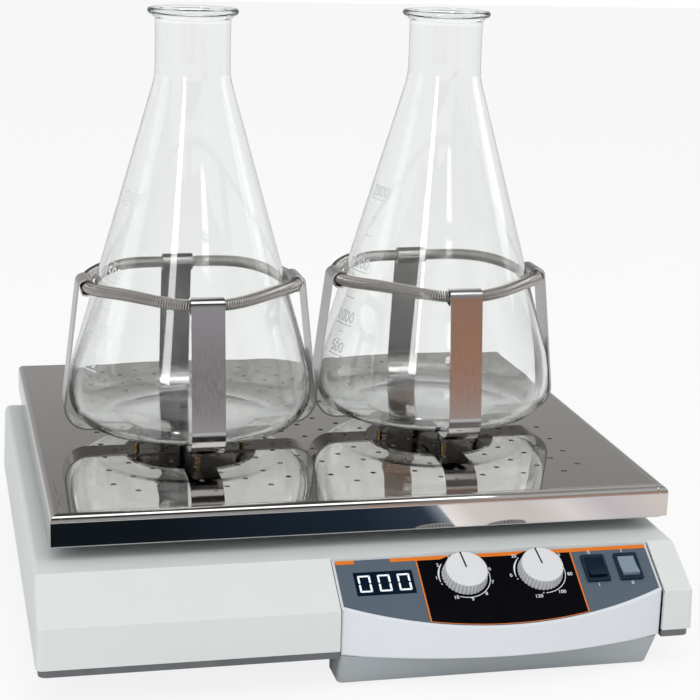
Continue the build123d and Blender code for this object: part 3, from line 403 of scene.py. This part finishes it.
def add_flask(side):
    """One flask, turned about its own axis, in place of its plain solid."""
    name = "flask_" + side
    low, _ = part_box(name)
    centre = middle(name)
    rows = []
    for radius, height in smooth_line(FLASK_PROFILE):
        reach = max(radius, 0.0) * MM
        level = low.z + max(height, 0.0) * MM
        turns = (2 * pi * k / FLASK_STEPS for k in range(FLASK_STEPS))
        rows.append([(centre.x + reach * cos(t), centre.y + reach * sin(t), level) for t in turns])
    mesh = grid_mesh("flask_glass_" + side, rows, close_columns=True)
    work = bmesh.new()
    work.from_mesh(mesh)
    bmesh.ops.remove_doubles(work, verts=work.verts, dist=0.000001)
    bmesh.ops.recalc_face_normals(work, faces=work.faces)
    work.to_mesh(mesh)
    work.free()
    flask = add_piece("flask_glass_" + side, mesh, name, "flask_glass")
    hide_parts(name)


def glyphs(text, size, weight=0.0):
    """Flat letters round the origin: their points and faces, in the units of size."""
    curve = bpy.data.curves.new("glyphs", "FONT")
    curve.body = text
    curve.size = size
    curve.offset = weight
    curve.align_x = "CENTER"
    curve.align_y = "CENTER"
    curve.resolution_u = 4
    holder = bpy.data.objects.new("glyphs", curve)
    mesh = bpy.data.meshes.new_from_object(holder)
    points = [(v.co.x, v.co.y) for v in mesh.vertices]
    faces = [tuple(face.vertices) for face in mesh.polygons]
    bpy.data.objects.remove(holder)
    bpy.data.curves.remove(curve)
    bpy.data.meshes.remove(mesh)
    return points, faces


def strip(line, width):
    """A flat ribbon along a line of points, with one width or a width for each point."""
    widths = width if isinstance(width, (list, tuple)) else [width] * len(line)
    points = []
    for i, (x, y) in enumerate(line):
        x0, y0 = line[max(i - 1, 0)]
        x1, y1 = line[min(i + 1, len(line) - 1)]
        length = sqrt((x1 - x0) ** 2 + (y1 - y0) ** 2)
        side = (-(y1 - y0) / length * widths[i] / 2, (x1 - x0) / length * widths[i] / 2)
        points += [(x + side[0], y + side[1]), (x - side[0], y - side[1])]
    faces = [(2 * i, 2 * i + 1, 2 * i + 3, 2 * i + 2) for i in range(len(line) - 1)]
    return points, faces


def arc_line(centre, radius, start, end, steps=40):
    """Points round a centre, from one angle to another in degrees."""
    turns = [radians(start + (end - start) * k / steps) for k in range(steps + 1)]
    return [(centre[0] + radius * cos(t), centre[1] + radius * sin(t)) for t in turns]


def moved(patch, across, along):
    """A patch of points and faces, moved."""
    points, faces = patch
    return [(x + across, y + along) for x, y in points], faces


def patch_mesh(name, patches, place):
    """One mesh of flat patches; place puts each of their points in the room."""
    points, faces = [], []
    for patch_points, patch_faces in patches:
        start = len(points)
        points += [tuple(place(x, y)) for x, y in patch_points]
        faces += [tuple(start + index for index in face) for face in patch_faces]
    mesh = bpy.data.meshes.new(name)
    mesh.from_pydata(points, [], faces)
    mesh.update()
    return mesh


GRADUATIONS = (("500", 46.0), ("1000", 67.0), ("1500", 103.5), ("2000", 152.5))
GRADUATION_TURN = {"left": -156.0, "right": -164.0}
GRADUATION_SIZE = 10.5
GRADUATION_WEIGHT = 0.12
GRADUATION_RISE = 5.2
NUMBERED_HALF, MIDDLE_HALF, SHORT_HALF = 10, 5, 3
NUMBERED_WIDTH, SHORT_WIDTH = 0.7, 0.5
MARK_LIFT = 0.00012


def add_graduations(side):
    """White volume marks on the outside of the cone."""
    name = "flask_" + side
    low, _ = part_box(name)
    centre = middle(name)
    turn = radians(GRADUATION_TURN[side])

    def on_cone(across, height):
        radius = (CONE_FOOT[0] + CONE_SLOPE * (height - CONE_FOOT[1])) * MM + MARK_LIFT
        angle = turn + across * MM / radius
        return (centre.x + radius * cos(angle), centre.y + radius * sin(angle), low.z + height * MM)

    patches = []
    for text, height in GRADUATIONS:
        patches.append(moved(glyphs(text, GRADUATION_SIZE, GRADUATION_WEIGHT), 0.0, height + GRADUATION_RISE))
        patches.append(strip([(x, height) for x in range(-NUMBERED_HALF, NUMBERED_HALF + 1, 2)], NUMBERED_WIDTH))
    for number in range(3):
        (_, start), (_, end) = GRADUATIONS[number:number + 2]
        for share in (0.25, 0.5, 0.75):
            half = MIDDLE_HALF if share == 0.5 else SHORT_HALF
            level = start + (end - start) * share
            patches.append(strip([(x, level) for x in range(-half, half + 1)], SHORT_WIDTH))
    mesh = patch_mesh("flask_marks_" + side, patches, on_cone)
    add_piece("flask_marks_" + side, mesh, name, "flask_glass", PRINT_WHITE, smooth=False)


# Clamp springs: one closed ring of close coils through the four rolls
SPRING_COILS = 272
WIRE_SHARE = 0.42
POINTS_PER_COIL = 14
WIRE_SIDES = 6
SPRING_SWELL = 0.0003
SPRING_RISE = 0.003
SPRING_GAP = 0.0003
ROLL_EXIT = 6


def add_spring(side):
    """A coiled wire ring that runs through the rolls and climbs onto the cone between them."""
    name = "clamp_spring_" + side
    low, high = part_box(name)
    centre = (low + high) / 2
    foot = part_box("flask_" + side)[0].z
    coil_radius = (high.z - low.z) / 2
    ring_radius = (high.x - low.x) / 2 - coil_radius
    wire_radius = 2 * pi * ring_radius / SPRING_COILS * WIRE_SHARE
    total = SPRING_COILS * POINTS_PER_COIL

    def hub(angle):
        """The coil's centre line, and how far the coil has left its roll, from 0 to 1."""
        share = sin(2 * angle) ** 2
        level = centre.z + SPRING_RISE * share
        cone = (CONE_FOOT[0] + CONE_SLOPE * ((level - foot) / MM - CONE_FOOT[1])) * MM
        rest = cone + coil_radius + SPRING_SWELL + SPRING_GAP
        reach = ring_radius + (min(rest, ring_radius) - ring_radius) * share
        place = Vector((centre.x + reach * cos(angle), centre.y + reach * sin(angle), level))
        return place, min(share * ROLL_EXIT, 1.0)

    rows = []
    for i in range(total):
        angle = 2 * pi * i / total
        outward = Vector((cos(angle), sin(angle), 0))
        along = Vector((-sin(angle), cos(angle), 0))
        phase = 2 * pi * (i % POINTS_PER_COIL) / POINTS_PER_COIL
        radial = outward * cos(phase) + Vector((0, 0, 1)) * sin(phase)
        place, free = hub(angle)
        wire = place + radial * (coil_radius + SPRING_SWELL * free - wire_radius)
        turns = (2 * pi * k / WIRE_SIDES for k in range(WIRE_SIDES))
        rows.append([tuple(wire + (radial * cos(t) + along * sin(t)) * wire_radius) for t in turns])
    mesh = grid_mesh("clamp_coil_" + side, rows, close_rows=True, close_columns=True)
    spring = add_piece("clamp_coil_" + side, mesh, "platform", "spring_steel")
    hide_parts(name)


# Panel print, laid a hair above the film
ACROSS = Vector((1, 0, 0))
UPHILL = Vector((0, cos(SLOPE), sin(SLOPE)))
OUTWARD = Vector((0, -sin(SLOPE), cos(SLOPE)))
FLAT = 0.00003


def top_face(name):
    """A node's face that looks out of the panel: its height, then its reach across and uphill."""
    places = [vertex.co for vertex in nodes[name].data.vertices]
    height = max(OUTWARD.dot(place) for place in places)
    face = [place for place in places if OUTWARD.dot(place) > height - FLAT]
    across = [ACROSS.dot(place) for place in face]
    uphill = [UPHILL.dot(place) for place in face]
    return height, (min(across), max(across)), (min(uphill), max(uphill))


FILM_HEIGHT, FILM_ACROSS, FILM_UPHILL = top_face("front_overlay")
PANEL_X = sum(FILM_ACROSS) / 2
FILM_HALF = (FILM_ACROSS[1] - FILM_ACROSS[0]) / 2 / MM
FILM_LENGTH = (FILM_UPHILL[1] - FILM_UPHILL[0]) / MM
FILM_SIDE = 34.0
PRINT_LIFT = 0.00005


def on_panel(across, up, height=FILM_HEIGHT):
    """A point over the panel: millimetres across from its middle and up from the film's top edge."""
    return ACROSS * (PANEL_X + across * MM) + UPHILL * (FILM_UPHILL[1] + up * MM) + OUTWARD * height


def layer(number):
    """A way to put points on the film, in the given layer of print."""
    return lambda across, up: on_panel(across, up, FILM_HEIGHT + PRINT_LIFT * number)


def dial_centre(name):
    """The middle of a knob's top face, in panel millimetres, and the face's height."""
    height, across, uphill = top_face(name)
    place = (sum(across) / 2 - PANEL_X) / MM, (sum(uphill) / 2 - FILM_UPHILL[1]) / MM
    return place, height


def film_foot(across):
    """Where the film's bowed lower edge lies, in millimetres up from its top edge."""
    sag = (FILM_LENGTH - FILM_SIDE) * cos(SLOPE)
    radius = (FILM_HALF ** 2 + sag ** 2) / (2 * sag)
    drop = sqrt(radius ** 2 - across ** 2) - sqrt(radius ** 2 - FILM_HALF ** 2)
    return -(FILM_SIDE + drop / cos(SLOPE))


def between(start, end, steps):
    """Evenly spaced values from start to end."""
    return [start + (end - start) * k / steps for k in range(steps + 1)]


def band(values, upper, lower):
    """A flat patch between two curves over the same values across."""
    points = [point for x in values for point in ((x, upper(x)), (x, lower(x)))]
    faces = [(2 * i, 2 * i + 1, 2 * i + 3, 2 * i + 2) for i in range(len(values) - 1)]
    return points, faces


BLACK_LEFT, BLACK_RIGHT = -50.2, 51.0
BAR_HEIGHT = 2.9
BAR_GAP = (-89.8, -66.8)
LINE_WIDTH, FOOT_LINE_WIDTH = 0.9, 0.45
FIELD_STEPS, BAR_STEPS = 160, 48
BULGE_REACH, BULGE_OPEN = 14.0, 4.0
SPEED_CENTRE, SPEED_TOP = dial_centre("speed_knob")
TIMER_CENTRE, TIMER_TOP = dial_centre("timer_knob")


def bar_foot(across):
    """The orange bar's lower edge, which gives way to the black round each knob."""
    share = 1.0
    for centre, _ in (SPEED_CENTRE, TIMER_CENTRE):
        gone = (abs(across - centre) - BULGE_OPEN) / (BULGE_REACH - BULGE_OPEN)
        gone = min(max(gone, 0.0), 1.0)
        share = min(share, gone * gone * (3 - 2 * gone))
    return -BAR_HEIGHT * share


def add_fields():
    """The film's colour fields, bars and thin lines."""
    values = between(BLACK_LEFT, BLACK_RIGHT, FIELD_STEPS)
    black = patch_mesh("panel_black", [band(values, bar_foot, film_foot)], layer(1))
    add_piece("panel_black", black, "base", "overlay_film", PRINT_BLACK, smooth=False)
    runs = [
        (-FILM_HALF, BAR_GAP[0]),
        (BAR_GAP[1], SPEED_CENTRE[0] - BULGE_OPEN),
        (SPEED_CENTRE[0] + BULGE_OPEN, TIMER_CENTRE[0] - BULGE_OPEN),
        (TIMER_CENTRE[0] + BULGE_OPEN, FILM_HALF),
    ]
    orange = [band(between(start, end, BAR_STEPS), lambda x: 0.0, bar_foot) for start, end in runs]
    half = LINE_WIDTH / 2
    for x in (BLACK_LEFT, BLACK_RIGHT):
        orange.append(band([x - half, x + half], lambda x: -BAR_HEIGHT, film_foot))
    orange.append(band(values, lambda x: film_foot(x) + FOOT_LINE_WIDTH, film_foot))
    mesh = patch_mesh("panel_orange", orange, layer(2))
    add_piece("panel_orange", mesh, "base", "overlay_film", PRINT_ORANGE, smooth=False)


# Each number's text and its angle round the dial, from a dial's zero in even steps
SPEED_ZERO, SPEED_STEP = 214.1, 33.26
TIMER_ZERO, TIMER_STEP = 184.7, 48.4
SPEED_NUMBERS = [(str(k), SPEED_ZERO - SPEED_STEP * k) for k in range(1, 11)]
TIMER_NUMBERS = [(str(20 * k), TIMER_ZERO - TIMER_STEP * k) for k in range(7)]
SPEED_NUMBER_RADIUS, TIMER_NUMBER_RADIUS = 18.0, 19.3
SPEED_CRESCENT, SPEED_ARC = (140.0, 192.0), (-112.0, 10.0)
TIMER_CRESCENT, TIMER_ARC = (133.0, 190.0), (-90.0, 8.0)
NUMBER_SIZE = 3.5
SMALL_NUMBER_SIZE = 2.3
NUMBER_LIMIT = 1.25
ARC_RADIUS = 16.35
ARC_WIDTH = 0.5
ARC_STEPS = 40
CRESCENT_TIP, CRESCENT_SWELL = 0.35, 0.75
DOT_TURN, DOT_RADIUS, DOT_SIDES = 6.0, 0.45, 12
NUMBER_WEIGHT, SWITCH_MARK_WEIGHT = 0.05, 0.04
SWITCH_MARKS = (("0", 63.2, -4.1), ("I", 63.4, -29.6), ("I", 85.2, -4.1), ("0", 85.8, -29.6))


def dial_marks(centre, numbers, radius, crescent, arc):
    """A dial's numbers, its tapering crescent and the thin arc along its foot."""
    marks = []
    for text, angle in numbers:
        turn = radians(angle)
        reach = radius
        size = NUMBER_SIZE
        room = -centre[1] - NUMBER_LIMIT
        if reach * sin(turn) > room:
            reach = room / sin(turn)
            size = SMALL_NUMBER_SIZE
        place = centre[0] + reach * cos(turn), centre[1] + reach * sin(turn)
        marks.append(moved(glyphs(text, size, NUMBER_WEIGHT), *place))
    steps = ARC_STEPS
    line = arc_line(centre, ARC_RADIUS, *crescent, steps)
    marks.append(strip(line, [CRESCENT_TIP + CRESCENT_SWELL * sin(pi * k / steps) for k in range(steps + 1)]))
    marks.append(strip(arc_line(centre, ARC_RADIUS, *arc, steps), ARC_WIDTH))
    for angle in (crescent[1] + DOT_TURN, arc[0] - DOT_TURN):
        turn = radians(angle)
        spot = centre[0] + ARC_RADIUS * cos(turn), centre[1] + ARC_RADIUS * sin(turn)
        ring = arc_line(spot, DOT_RADIUS, 0, 360 - 360 / DOT_SIDES, DOT_SIDES - 1)
        marks.append((ring, [tuple(range(DOT_SIDES))]))
    return marks


def switch_marks():
    """The on and off marks by the two switches."""
    return [
        moved(glyphs(letter, NUMBER_SIZE, SWITCH_MARK_WEIGHT), across, up)
        for letter, across, up in SWITCH_MARKS
    ]


def add_marks():
    """White print on the film."""
    marks = dial_marks(SPEED_CENTRE, SPEED_NUMBERS, SPEED_NUMBER_RADIUS, SPEED_CRESCENT, SPEED_ARC)
    marks += dial_marks(TIMER_CENTRE, TIMER_NUMBERS, TIMER_NUMBER_RADIUS, TIMER_CRESCENT, TIMER_ARC)
    mesh = patch_mesh("panel_marks", marks + switch_marks(), layer(3))
    add_piece("panel_marks", mesh, "base", "overlay_film", PRINT_WHITE, smooth=False)


DIGIT_HALF_WIDTH, DIGIT_HALF_HEIGHT = 4.0, 6.4
SEGMENT_WIDTH = 1.25
SEGMENT_GAP = 0.22
DIGIT_PITCH = 12.5


def nought_strokes():
    """The six lit segments of a nought, with mitred ends, as patches round its middle."""
    w, h, t, g = DIGIT_HALF_WIDTH, DIGIT_HALF_HEIGHT, SEGMENT_WIDTH, SEGMENT_GAP
    top = [(g - w, h), (w - g, h), (w - g - t, h - t), (g - w + t, h - t)]
    side = [(w, h - g), (w, g + t / 2), (w - t / 2, g), (w - t, g + t / 2), (w - t, h - g - t)]
    outlines = [[(x, y * up) for x, y in top] for up in (1, -1)]
    outlines += [[(x * out, y * up) for x, y in side] for out in (1, -1) for up in (1, -1)]
    return [(outline, [tuple(range(len(outline)))]) for outline in outlines]


def add_digits():
    """Three lit noughts on the display window's face."""
    height, across, uphill = top_face("display_window")
    centre = (sum(across) / 2 - PANEL_X) / MM, (sum(uphill) / 2 - FILM_UPHILL[1]) / MM
    patches = [
        moved(stroke, centre[0] + number * DIGIT_PITCH, centre[1])
        for number in (-1, 0, 1) for stroke in nought_strokes()
    ]
    mesh = patch_mesh("display_digits", patches, lambda x, y: on_panel(x, y, height + PRINT_LIFT))
    add_piece("display_digits", mesh, "base", "window_dark", DIGIT_WHITE, smooth=False)


# Painted shade in the knob grooves: the flute count, the ripple span that is darkened, and the depths below the top
# face where the painted shade begins and is full.
GROOVE_COUNT = 36
GROOVE_SHADE_SPREAD = (0.2, 0.9)
GROOVE_SHADE_START, GROOVE_SHADE_FULL = 0.0002, 0.0006


def knob_material(name, centre, top):
    """The knobs' white moulding, with painted shade darkening the grooves round the skirt."""
    material, shader = new_material("knob_white_groove_shade_" + name)
    shader.inputs["Roughness"].default_value = KNOB_ROUGH
    place = add_node(material, "ShaderNodeTexCoord")
    middle_place = on_panel(*centre, height=top)
    measures = []
    for axis in (ACROSS, UPHILL, OUTWARD):
        dot = add_node(material, "ShaderNodeVectorMath", operation="DOT_PRODUCT")
        dot.inputs[1].default_value = axis
        join(material, place.outputs["Object"], dot.inputs[0])
        measures.append(arithmetic(material, "SUBTRACT", dot.outputs["Value"], axis.dot(middle_place)))
    across, uphill, outward = measures
    turn = arithmetic(material, "ARCTAN2", uphill, across)
    ripple = arithmetic(material, "COSINE", arithmetic(material, "MULTIPLY", turn, float(GROOVE_COUNT)))
    # Painted shade: a darker colour mixed in where the ripple dips, below the top face.
    groove_shade_mask = spread(material, ripple, 0.0, 1.0, *GROOVE_SHADE_SPREAD)
    below = spread(material, outward, 1.0, 0.0, -GROOVE_SHADE_FULL, -GROOVE_SHADE_START)
    shade = arithmetic(material, "MULTIPLY", groove_shade_mask, below)
    white = tint(material, noise(material, 14.0, 2.0), KNOB_DARK, KNOB_LIGHT)
    mix = add_node(material, "ShaderNodeMix", data_type="RGBA")
    join(material, shade, mix.inputs["Factor"])
    join(material, white, mix.inputs["A"])
    mix.inputs["B"].default_value = (*KNOB_GROOVE_SHADE, 1)
    join(material, mix.outputs["Result"], shader.inputs["Base Color"])
    bump(material, shader, noise(material, 900.0, 2.0), 0.25, 0.00004)
    return material


def dress_knobs():
    """The two knobs' white finish, with painted shade in their skirt grooves."""
    for name, centre, top in (("speed_knob", SPEED_CENTRE, SPEED_TOP), ("timer_knob", TIMER_CENTRE, TIMER_TOP)):
        nodes[name].data.materials[0] = knob_material(name, centre, top)


# Where the painted gap shade lies, in panel millimetres, and its lift above the film.
GAP_SHADE_LIFT = 0.000001
GAP_SHADE_RIGHT, GAP_SHADE_LEFT = (103.9, 105.6), (-104.35, -103.8)
GAP_SHADE_SPAN = (1.97, -38.8)


def add_seals():
    """Painted shade in the narrow joint gaps at the console's two ends, as flat strips in the film's plane."""
    for name, (start, end), finish in (("right", GAP_SHADE_RIGHT, GAP_SHADE_OLIVE), ("left", GAP_SHADE_LEFT, GAP_SHADE_DARK)):
        patch = band([start, end], lambda x: GAP_SHADE_SPAN[0], lambda x: GAP_SHADE_SPAN[1])
        mesh = patch_mesh("console_gap_shade_" + name, [patch], lambda x, y: on_panel(x, y, FILM_HEIGHT + GAP_SHADE_LIFT))
        add_piece("console_gap_shade_" + name, mesh, "base", "console_white", finish, smooth=False)


POINTER_WIDTH = 1.1
# Each pointer's two ends, in millimetres from its knob's middle
SPEED_POINTER = ((-1.45, 13.0), (0.1, 1.0))
TIMER_POINTER = ((-1.75, 13.0), (0.0, 0.7))


def add_pointer(name, body, centre, height, start, end):
    """The black line on a knob's top face, which turns with the knob."""
    line = [(centre[0] + start[0], centre[1] + start[1]), (centre[0] + end[0], centre[1] + end[1])]
    mesh = patch_mesh(name, [strip(line, POINTER_WIDTH)], lambda x, y: on_panel(x, y, height + PRINT_LIFT))
    add_piece(name, mesh, body, "knob_white", PRINT_POINTER, smooth=False)


# Studio: pale floor, soft lamps, and cards that only gloss sees
def stage_plane(name, corners, material):
    """A flat stage piece with four corners."""
    mesh = bpy.data.meshes.new(name)
    mesh.from_pydata(corners, [], [(0, 1, 2, 3)])
    mesh.materials.append(material)
    plane = bpy.data.objects.new(name, mesh)
    bpy.context.scene.collection.objects.link(plane)


FLOOR_HALF = 6.0
FLOOR_WHITE_SHARE = 0.85


def add_floor():
    """A white floor that keeps a soft shadow of the object."""
    material, shader = new_material("floor_white")
    shades = noise(material, 2.0)
    join(material, tint(material, shades, (0.87, 0.87, 0.87), (0.89, 0.89, 0.89)), shader.inputs["Base Color"])
    shader.inputs["Roughness"].default_value = 0.9
    shader.inputs["Specular IOR Level"].default_value = 0.0
    white = add_node(material, "ShaderNodeEmission")
    white.inputs["Strength"].default_value = 1.0
    path = add_node(material, "ShaderNodeLightPath")
    seen = arithmetic(material, "MAXIMUM", path.outputs["Is Camera Ray"], path.outputs["Is Transmission Ray"])
    share = arithmetic(material, "MULTIPLY", seen, FLOOR_WHITE_SHARE)
    mix = add_node(material, "ShaderNodeMixShader")
    join(material, share, mix.inputs["Fac"])
    join(material, shader.outputs["BSDF"], mix.inputs[1])
    join(material, white.outputs["Emission"], mix.inputs[2])
    join(material, mix.outputs["Shader"], material.node_tree.nodes["Material Output"].inputs["Surface"])
    material.cycles.emission_sampling = "NONE"
    size = FLOOR_HALF
    stage_plane("floor", [(-size, -size, 0), (size, -size, 0), (size, size, 0), (-size, size, 0)], material)


def fill_ramp(ramp, stops):
    """Sets a ramp's colours, the first and last stops at its own two ends."""
    elements = ramp.color_ramp.elements
    for element, (position, colour) in ((elements[0], stops[0]), (elements[-1], stops[-1])):
        element.position = position
        element.color = (*colour, 1)
    for position, colour in stops[1:-1]:
        elements.new(position).color = (*colour, 1)


def add_card(name, corners, axis, span, stops, strength=1.0):
    """A card that only gloss sees, with colours along one axis."""
    material, shader = new_material(name)
    material.node_tree.nodes.remove(shader)
    place = add_node(material, "ShaderNodeTexCoord")
    split = add_node(material, "ShaderNodeSeparateXYZ")
    join(material, place.outputs["Object"], split.inputs["Vector"])
    start, end = span
    share = spread(material, split.outputs[axis], 0.0, 1.0, start, end)
    ramp = add_node(material, "ShaderNodeValToRGB")
    fill_ramp(ramp, [((position - start) / (end - start), colour) for position, colour in stops])
    join(material, share, ramp.inputs["Fac"])
    glow = add_node(material, "ShaderNodeEmission")
    glow.inputs["Strength"].default_value = strength
    join(material, ramp.outputs["Color"], glow.inputs["Color"])
    clear = add_node(material, "ShaderNodeBsdfTransparent")
    path = add_node(material, "ShaderNodeLightPath")
    mix = add_node(material, "ShaderNodeMixShader")
    join(material, path.outputs["Is Glossy Ray"], mix.inputs["Fac"])
    join(material, clear.outputs["BSDF"], mix.inputs[1])
    join(material, glow.outputs["Emission"], mix.inputs[2])
    join(material, mix.outputs["Shader"], material.node_tree.nodes["Material Output"].inputs["Surface"])
    material.cycles.emission_sampling = "NONE"
    stage_plane(name, corners, material)


FLOOR_CARD_NEAR, FLOOR_CARD_FAR = -0.34, -0.45
FLOOR_CARD_LEVEL = 0.002
SCREEN_Y = -2.0
SCREEN_TOP = 0.5


def floor_card(name, span, stops, strength=1.0):
    """A card on the floor before the machine, with colours from left to right."""
    (left, right), level = span, FLOOR_CARD_LEVEL
    corners = [
        (left, FLOOR_CARD_FAR, level), (right, FLOOR_CARD_FAR, level),
        (right, FLOOR_CARD_NEAR, level), (left, FLOOR_CARD_NEAR, level),
    ]
    add_card(name, corners, "X", span, stops, strength)


def screen_card(name, left, right, stops):
    """A card standing far in front of the machine, with colours from the floor up."""
    corners = [(left, SCREEN_Y, 0), (right, SCREEN_Y, 0), (right, SCREEN_Y, SCREEN_TOP), (left, SCREEN_Y, SCREEN_TOP)]
    add_card(name, corners, "Z", (0.0, SCREEN_TOP), stops)


def add_cards():
    """What the tray's front mirrors on the floor, and what the clamp straps mirror further off."""
    floor_card("card_dark", (-0.9, 0.129), [
        (-0.9, (0.007, 0.011, 0.016)), (-0.1, (0.010, 0.016, 0.022)), (0.06, (0.022, 0.036, 0.060)),
        (0.115, (0.05, 0.07, 0.11)), (0.129, (0.42, 0.48, 0.58)),
    ])
    floor_card("card_silver", (0.129, 0.8), [
        (0.129, (0.80, 0.77, 0.78)), (0.150, (0.60, 0.57, 0.55)), (0.196, (0.54, 0.52, 0.51)),
        (0.230, (0.66, 0.63, 0.64)), (0.265, (0.50, 0.48, 0.51)), (0.310, (0.58, 0.55, 0.53)),
        (0.8, (0.58, 0.55, 0.53)),
    ], strength=1.9)
    screen_card("card_lavender", -0.7, 0.44, [
        (0.0, (0.10, 0.095, 0.09)), (0.03, (0.22, 0.20, 0.20)), (0.06, (0.277, 0.255, 0.25)),
        (0.13, (0.38, 0.355, 0.385)), (0.20, (0.57, 0.57, 0.61)), (SCREEN_TOP, (0.4, 0.4, 0.4)),
    ])
    screen_card("card_brown", 0.44, 1.3, [
        (0.0, (0.12, 0.08, 0.06)), (0.03, (0.60, 0.29, 0.17)), (0.06, (0.66, 0.31, 0.175)),
        (0.13, (0.60, 0.29, 0.166)), (0.20, (0.54, 0.30, 0.20)), (SCREEN_TOP, (0.40, 0.36, 0.33)),
    ])


# Brightness that gloss finds at the sine of a height above the horizon, behind, in front and at the right
GLOSS_BACK = ((0.0, 0.50), (0.24, 0.465), (0.33, 0.33), (0.50, 0.20), (0.80, 0.12), (1.0, 0.08))
GLOSS_FRONT = ((0.0, 0.38), (0.34, 0.36), (0.42, 0.06), (1.0, 0.05))
GLOSS_RIGHT = ((0.0, 0.50), (0.24, 0.46), (0.33, 0.34), (0.42, 0.60), (0.55, 0.75), (0.85, 0.60), (1.0, 0.20))
GLOSS_WARMTH = (1.0, 0.99, 0.975)
FRONT_BLEND, RIGHT_BLEND = (-0.05, 0.05), (0.24, 0.30)
SEEN_LIGHT, SOFT_LIGHT, GLOSS_LIGHT = 1.0, 0.58, 1.0


def mixed(material, share, first, second):
    """A colour between two coloured sockets."""
    mix = add_node(material, "ShaderNodeMix", data_type="RGBA")
    join(material, share, mix.inputs["Factor"])
    join(material, first, mix.inputs["A"])
    join(material, second, mix.inputs["B"])
    return mix.outputs["Result"]


def add_world():
    """White where the camera and glass look, a studio for gloss, and even soft light for the rest."""
    world = bpy.data.worlds.new("studio")
    bpy.context.scene.world = world
    world.use_nodes = True
    world.node_tree.nodes.clear()
    lights = {}
    for name, strength in (("seen", SEEN_LIGHT), ("soft", SOFT_LIGHT), ("gloss", GLOSS_LIGHT)):
        lights[name] = add_node(world, "ShaderNodeBackground")
        lights[name].inputs["Color"].default_value = (1, 1, 1, 1)
        lights[name].inputs["Strength"].default_value = strength
    place = add_node(world, "ShaderNodeTexCoord")
    split = add_node(world, "ShaderNodeSeparateXYZ")
    join(world, place.outputs["Generated"], split.inputs["Vector"])
    colours = []
    for levels in (GLOSS_BACK, GLOSS_FRONT, GLOSS_RIGHT):
        ramp = add_node(world, "ShaderNodeValToRGB")
        fill_ramp(ramp, [(position, [level * share for share in GLOSS_WARMTH]) for position, level in levels])
        join(world, split.outputs["Z"], ramp.inputs["Fac"])
        colours.append(ramp.outputs["Color"])
    back, front, right = colours
    in_front = spread(world, split.outputs["Y"], 1.0, 0.0, *FRONT_BLEND)
    at_right = spread(world, split.outputs["X"], 0.0, 1.0, *RIGHT_BLEND)
    gloss = mixed(world, at_right, mixed(world, in_front, back, front), right)
    join(world, gloss, lights["gloss"].inputs["Color"])
    path = add_node(world, "ShaderNodeLightPath")
    first = add_node(world, "ShaderNodeMixShader")
    join(world, path.outputs["Is Glossy Ray"], first.inputs["Fac"])
    join(world, lights["soft"].outputs["Background"], first.inputs[1])
    join(world, lights["gloss"].outputs["Background"], first.inputs[2])
    clear = arithmetic(world, "MAXIMUM", path.outputs["Is Camera Ray"], path.outputs["Is Transmission Ray"])
    second = add_node(world, "ShaderNodeMixShader")
    join(world, clear, second.inputs["Fac"])
    join(world, first.outputs["Shader"], second.inputs[1])
    join(world, lights["seen"].outputs["Background"], second.inputs[2])
    output = add_node(world, "ShaderNodeOutputWorld")
    join(world, second.outputs["Shader"], output.inputs["Surface"])


LAMP_TARGET = Vector((0, 0, 0.15))
LAMPS = (
    # name, azimuth, elevation, distance, width and height, power
    ("lamp_strip", -124.0, 27.0, 2.2, (0.30, 1.1), 8.0),
    ("lamp_left", 172.0, 24.0, 2.0, (0.8, 1.2), 2.5),
    ("lamp_right", 8.0, 24.0, 2.0, (0.8, 1.2), 4.0),
    ("lamp_top", -90.0, 62.0, 2.3, (1.6, 1.2), 14.0),
)


def add_lamp(name, azimuth, elevation, distance, size, power):
    """A soft rectangular lamp round the object, aimed at its middle."""
    turn, rise = radians(azimuth), radians(elevation)
    place = LAMP_TARGET + Vector((cos(turn) * cos(rise), sin(turn) * cos(rise), sin(rise))) * distance
    data = bpy.data.lights.new(name, "AREA")
    data.shape = "RECTANGLE"
    data.size, data.size_y = size
    data.energy = power
    lamp = bpy.data.objects.new(name, data)
    aim = LAMP_TARGET - place
    lamp.matrix_world = Matrix.Translation(place) @ aim.to_track_quat("-Z", "Y").to_matrix().to_4x4()
    bpy.context.scene.collection.objects.link(lamp)


add_camera()
dress_nodes()
for flask_side in ("left", "right"):
    add_flask(flask_side)
    add_graduations(flask_side)
    add_spring(flask_side)
add_fields()
add_marks()
add_digits()
add_pointer("speed_pointer", "speed_dial", SPEED_CENTRE, SPEED_TOP, *SPEED_POINTER)
add_pointer("timer_pointer", "timer_dial", TIMER_CENTRE, TIMER_TOP, *TIMER_POINTER)
dress_knobs()
add_seals()
add_floor()
add_cards()
add_world()
for lamp_row in LAMPS:
    add_lamp(*lamp_row)

bpy.context.scene.view_settings.view_transform = "Standard"
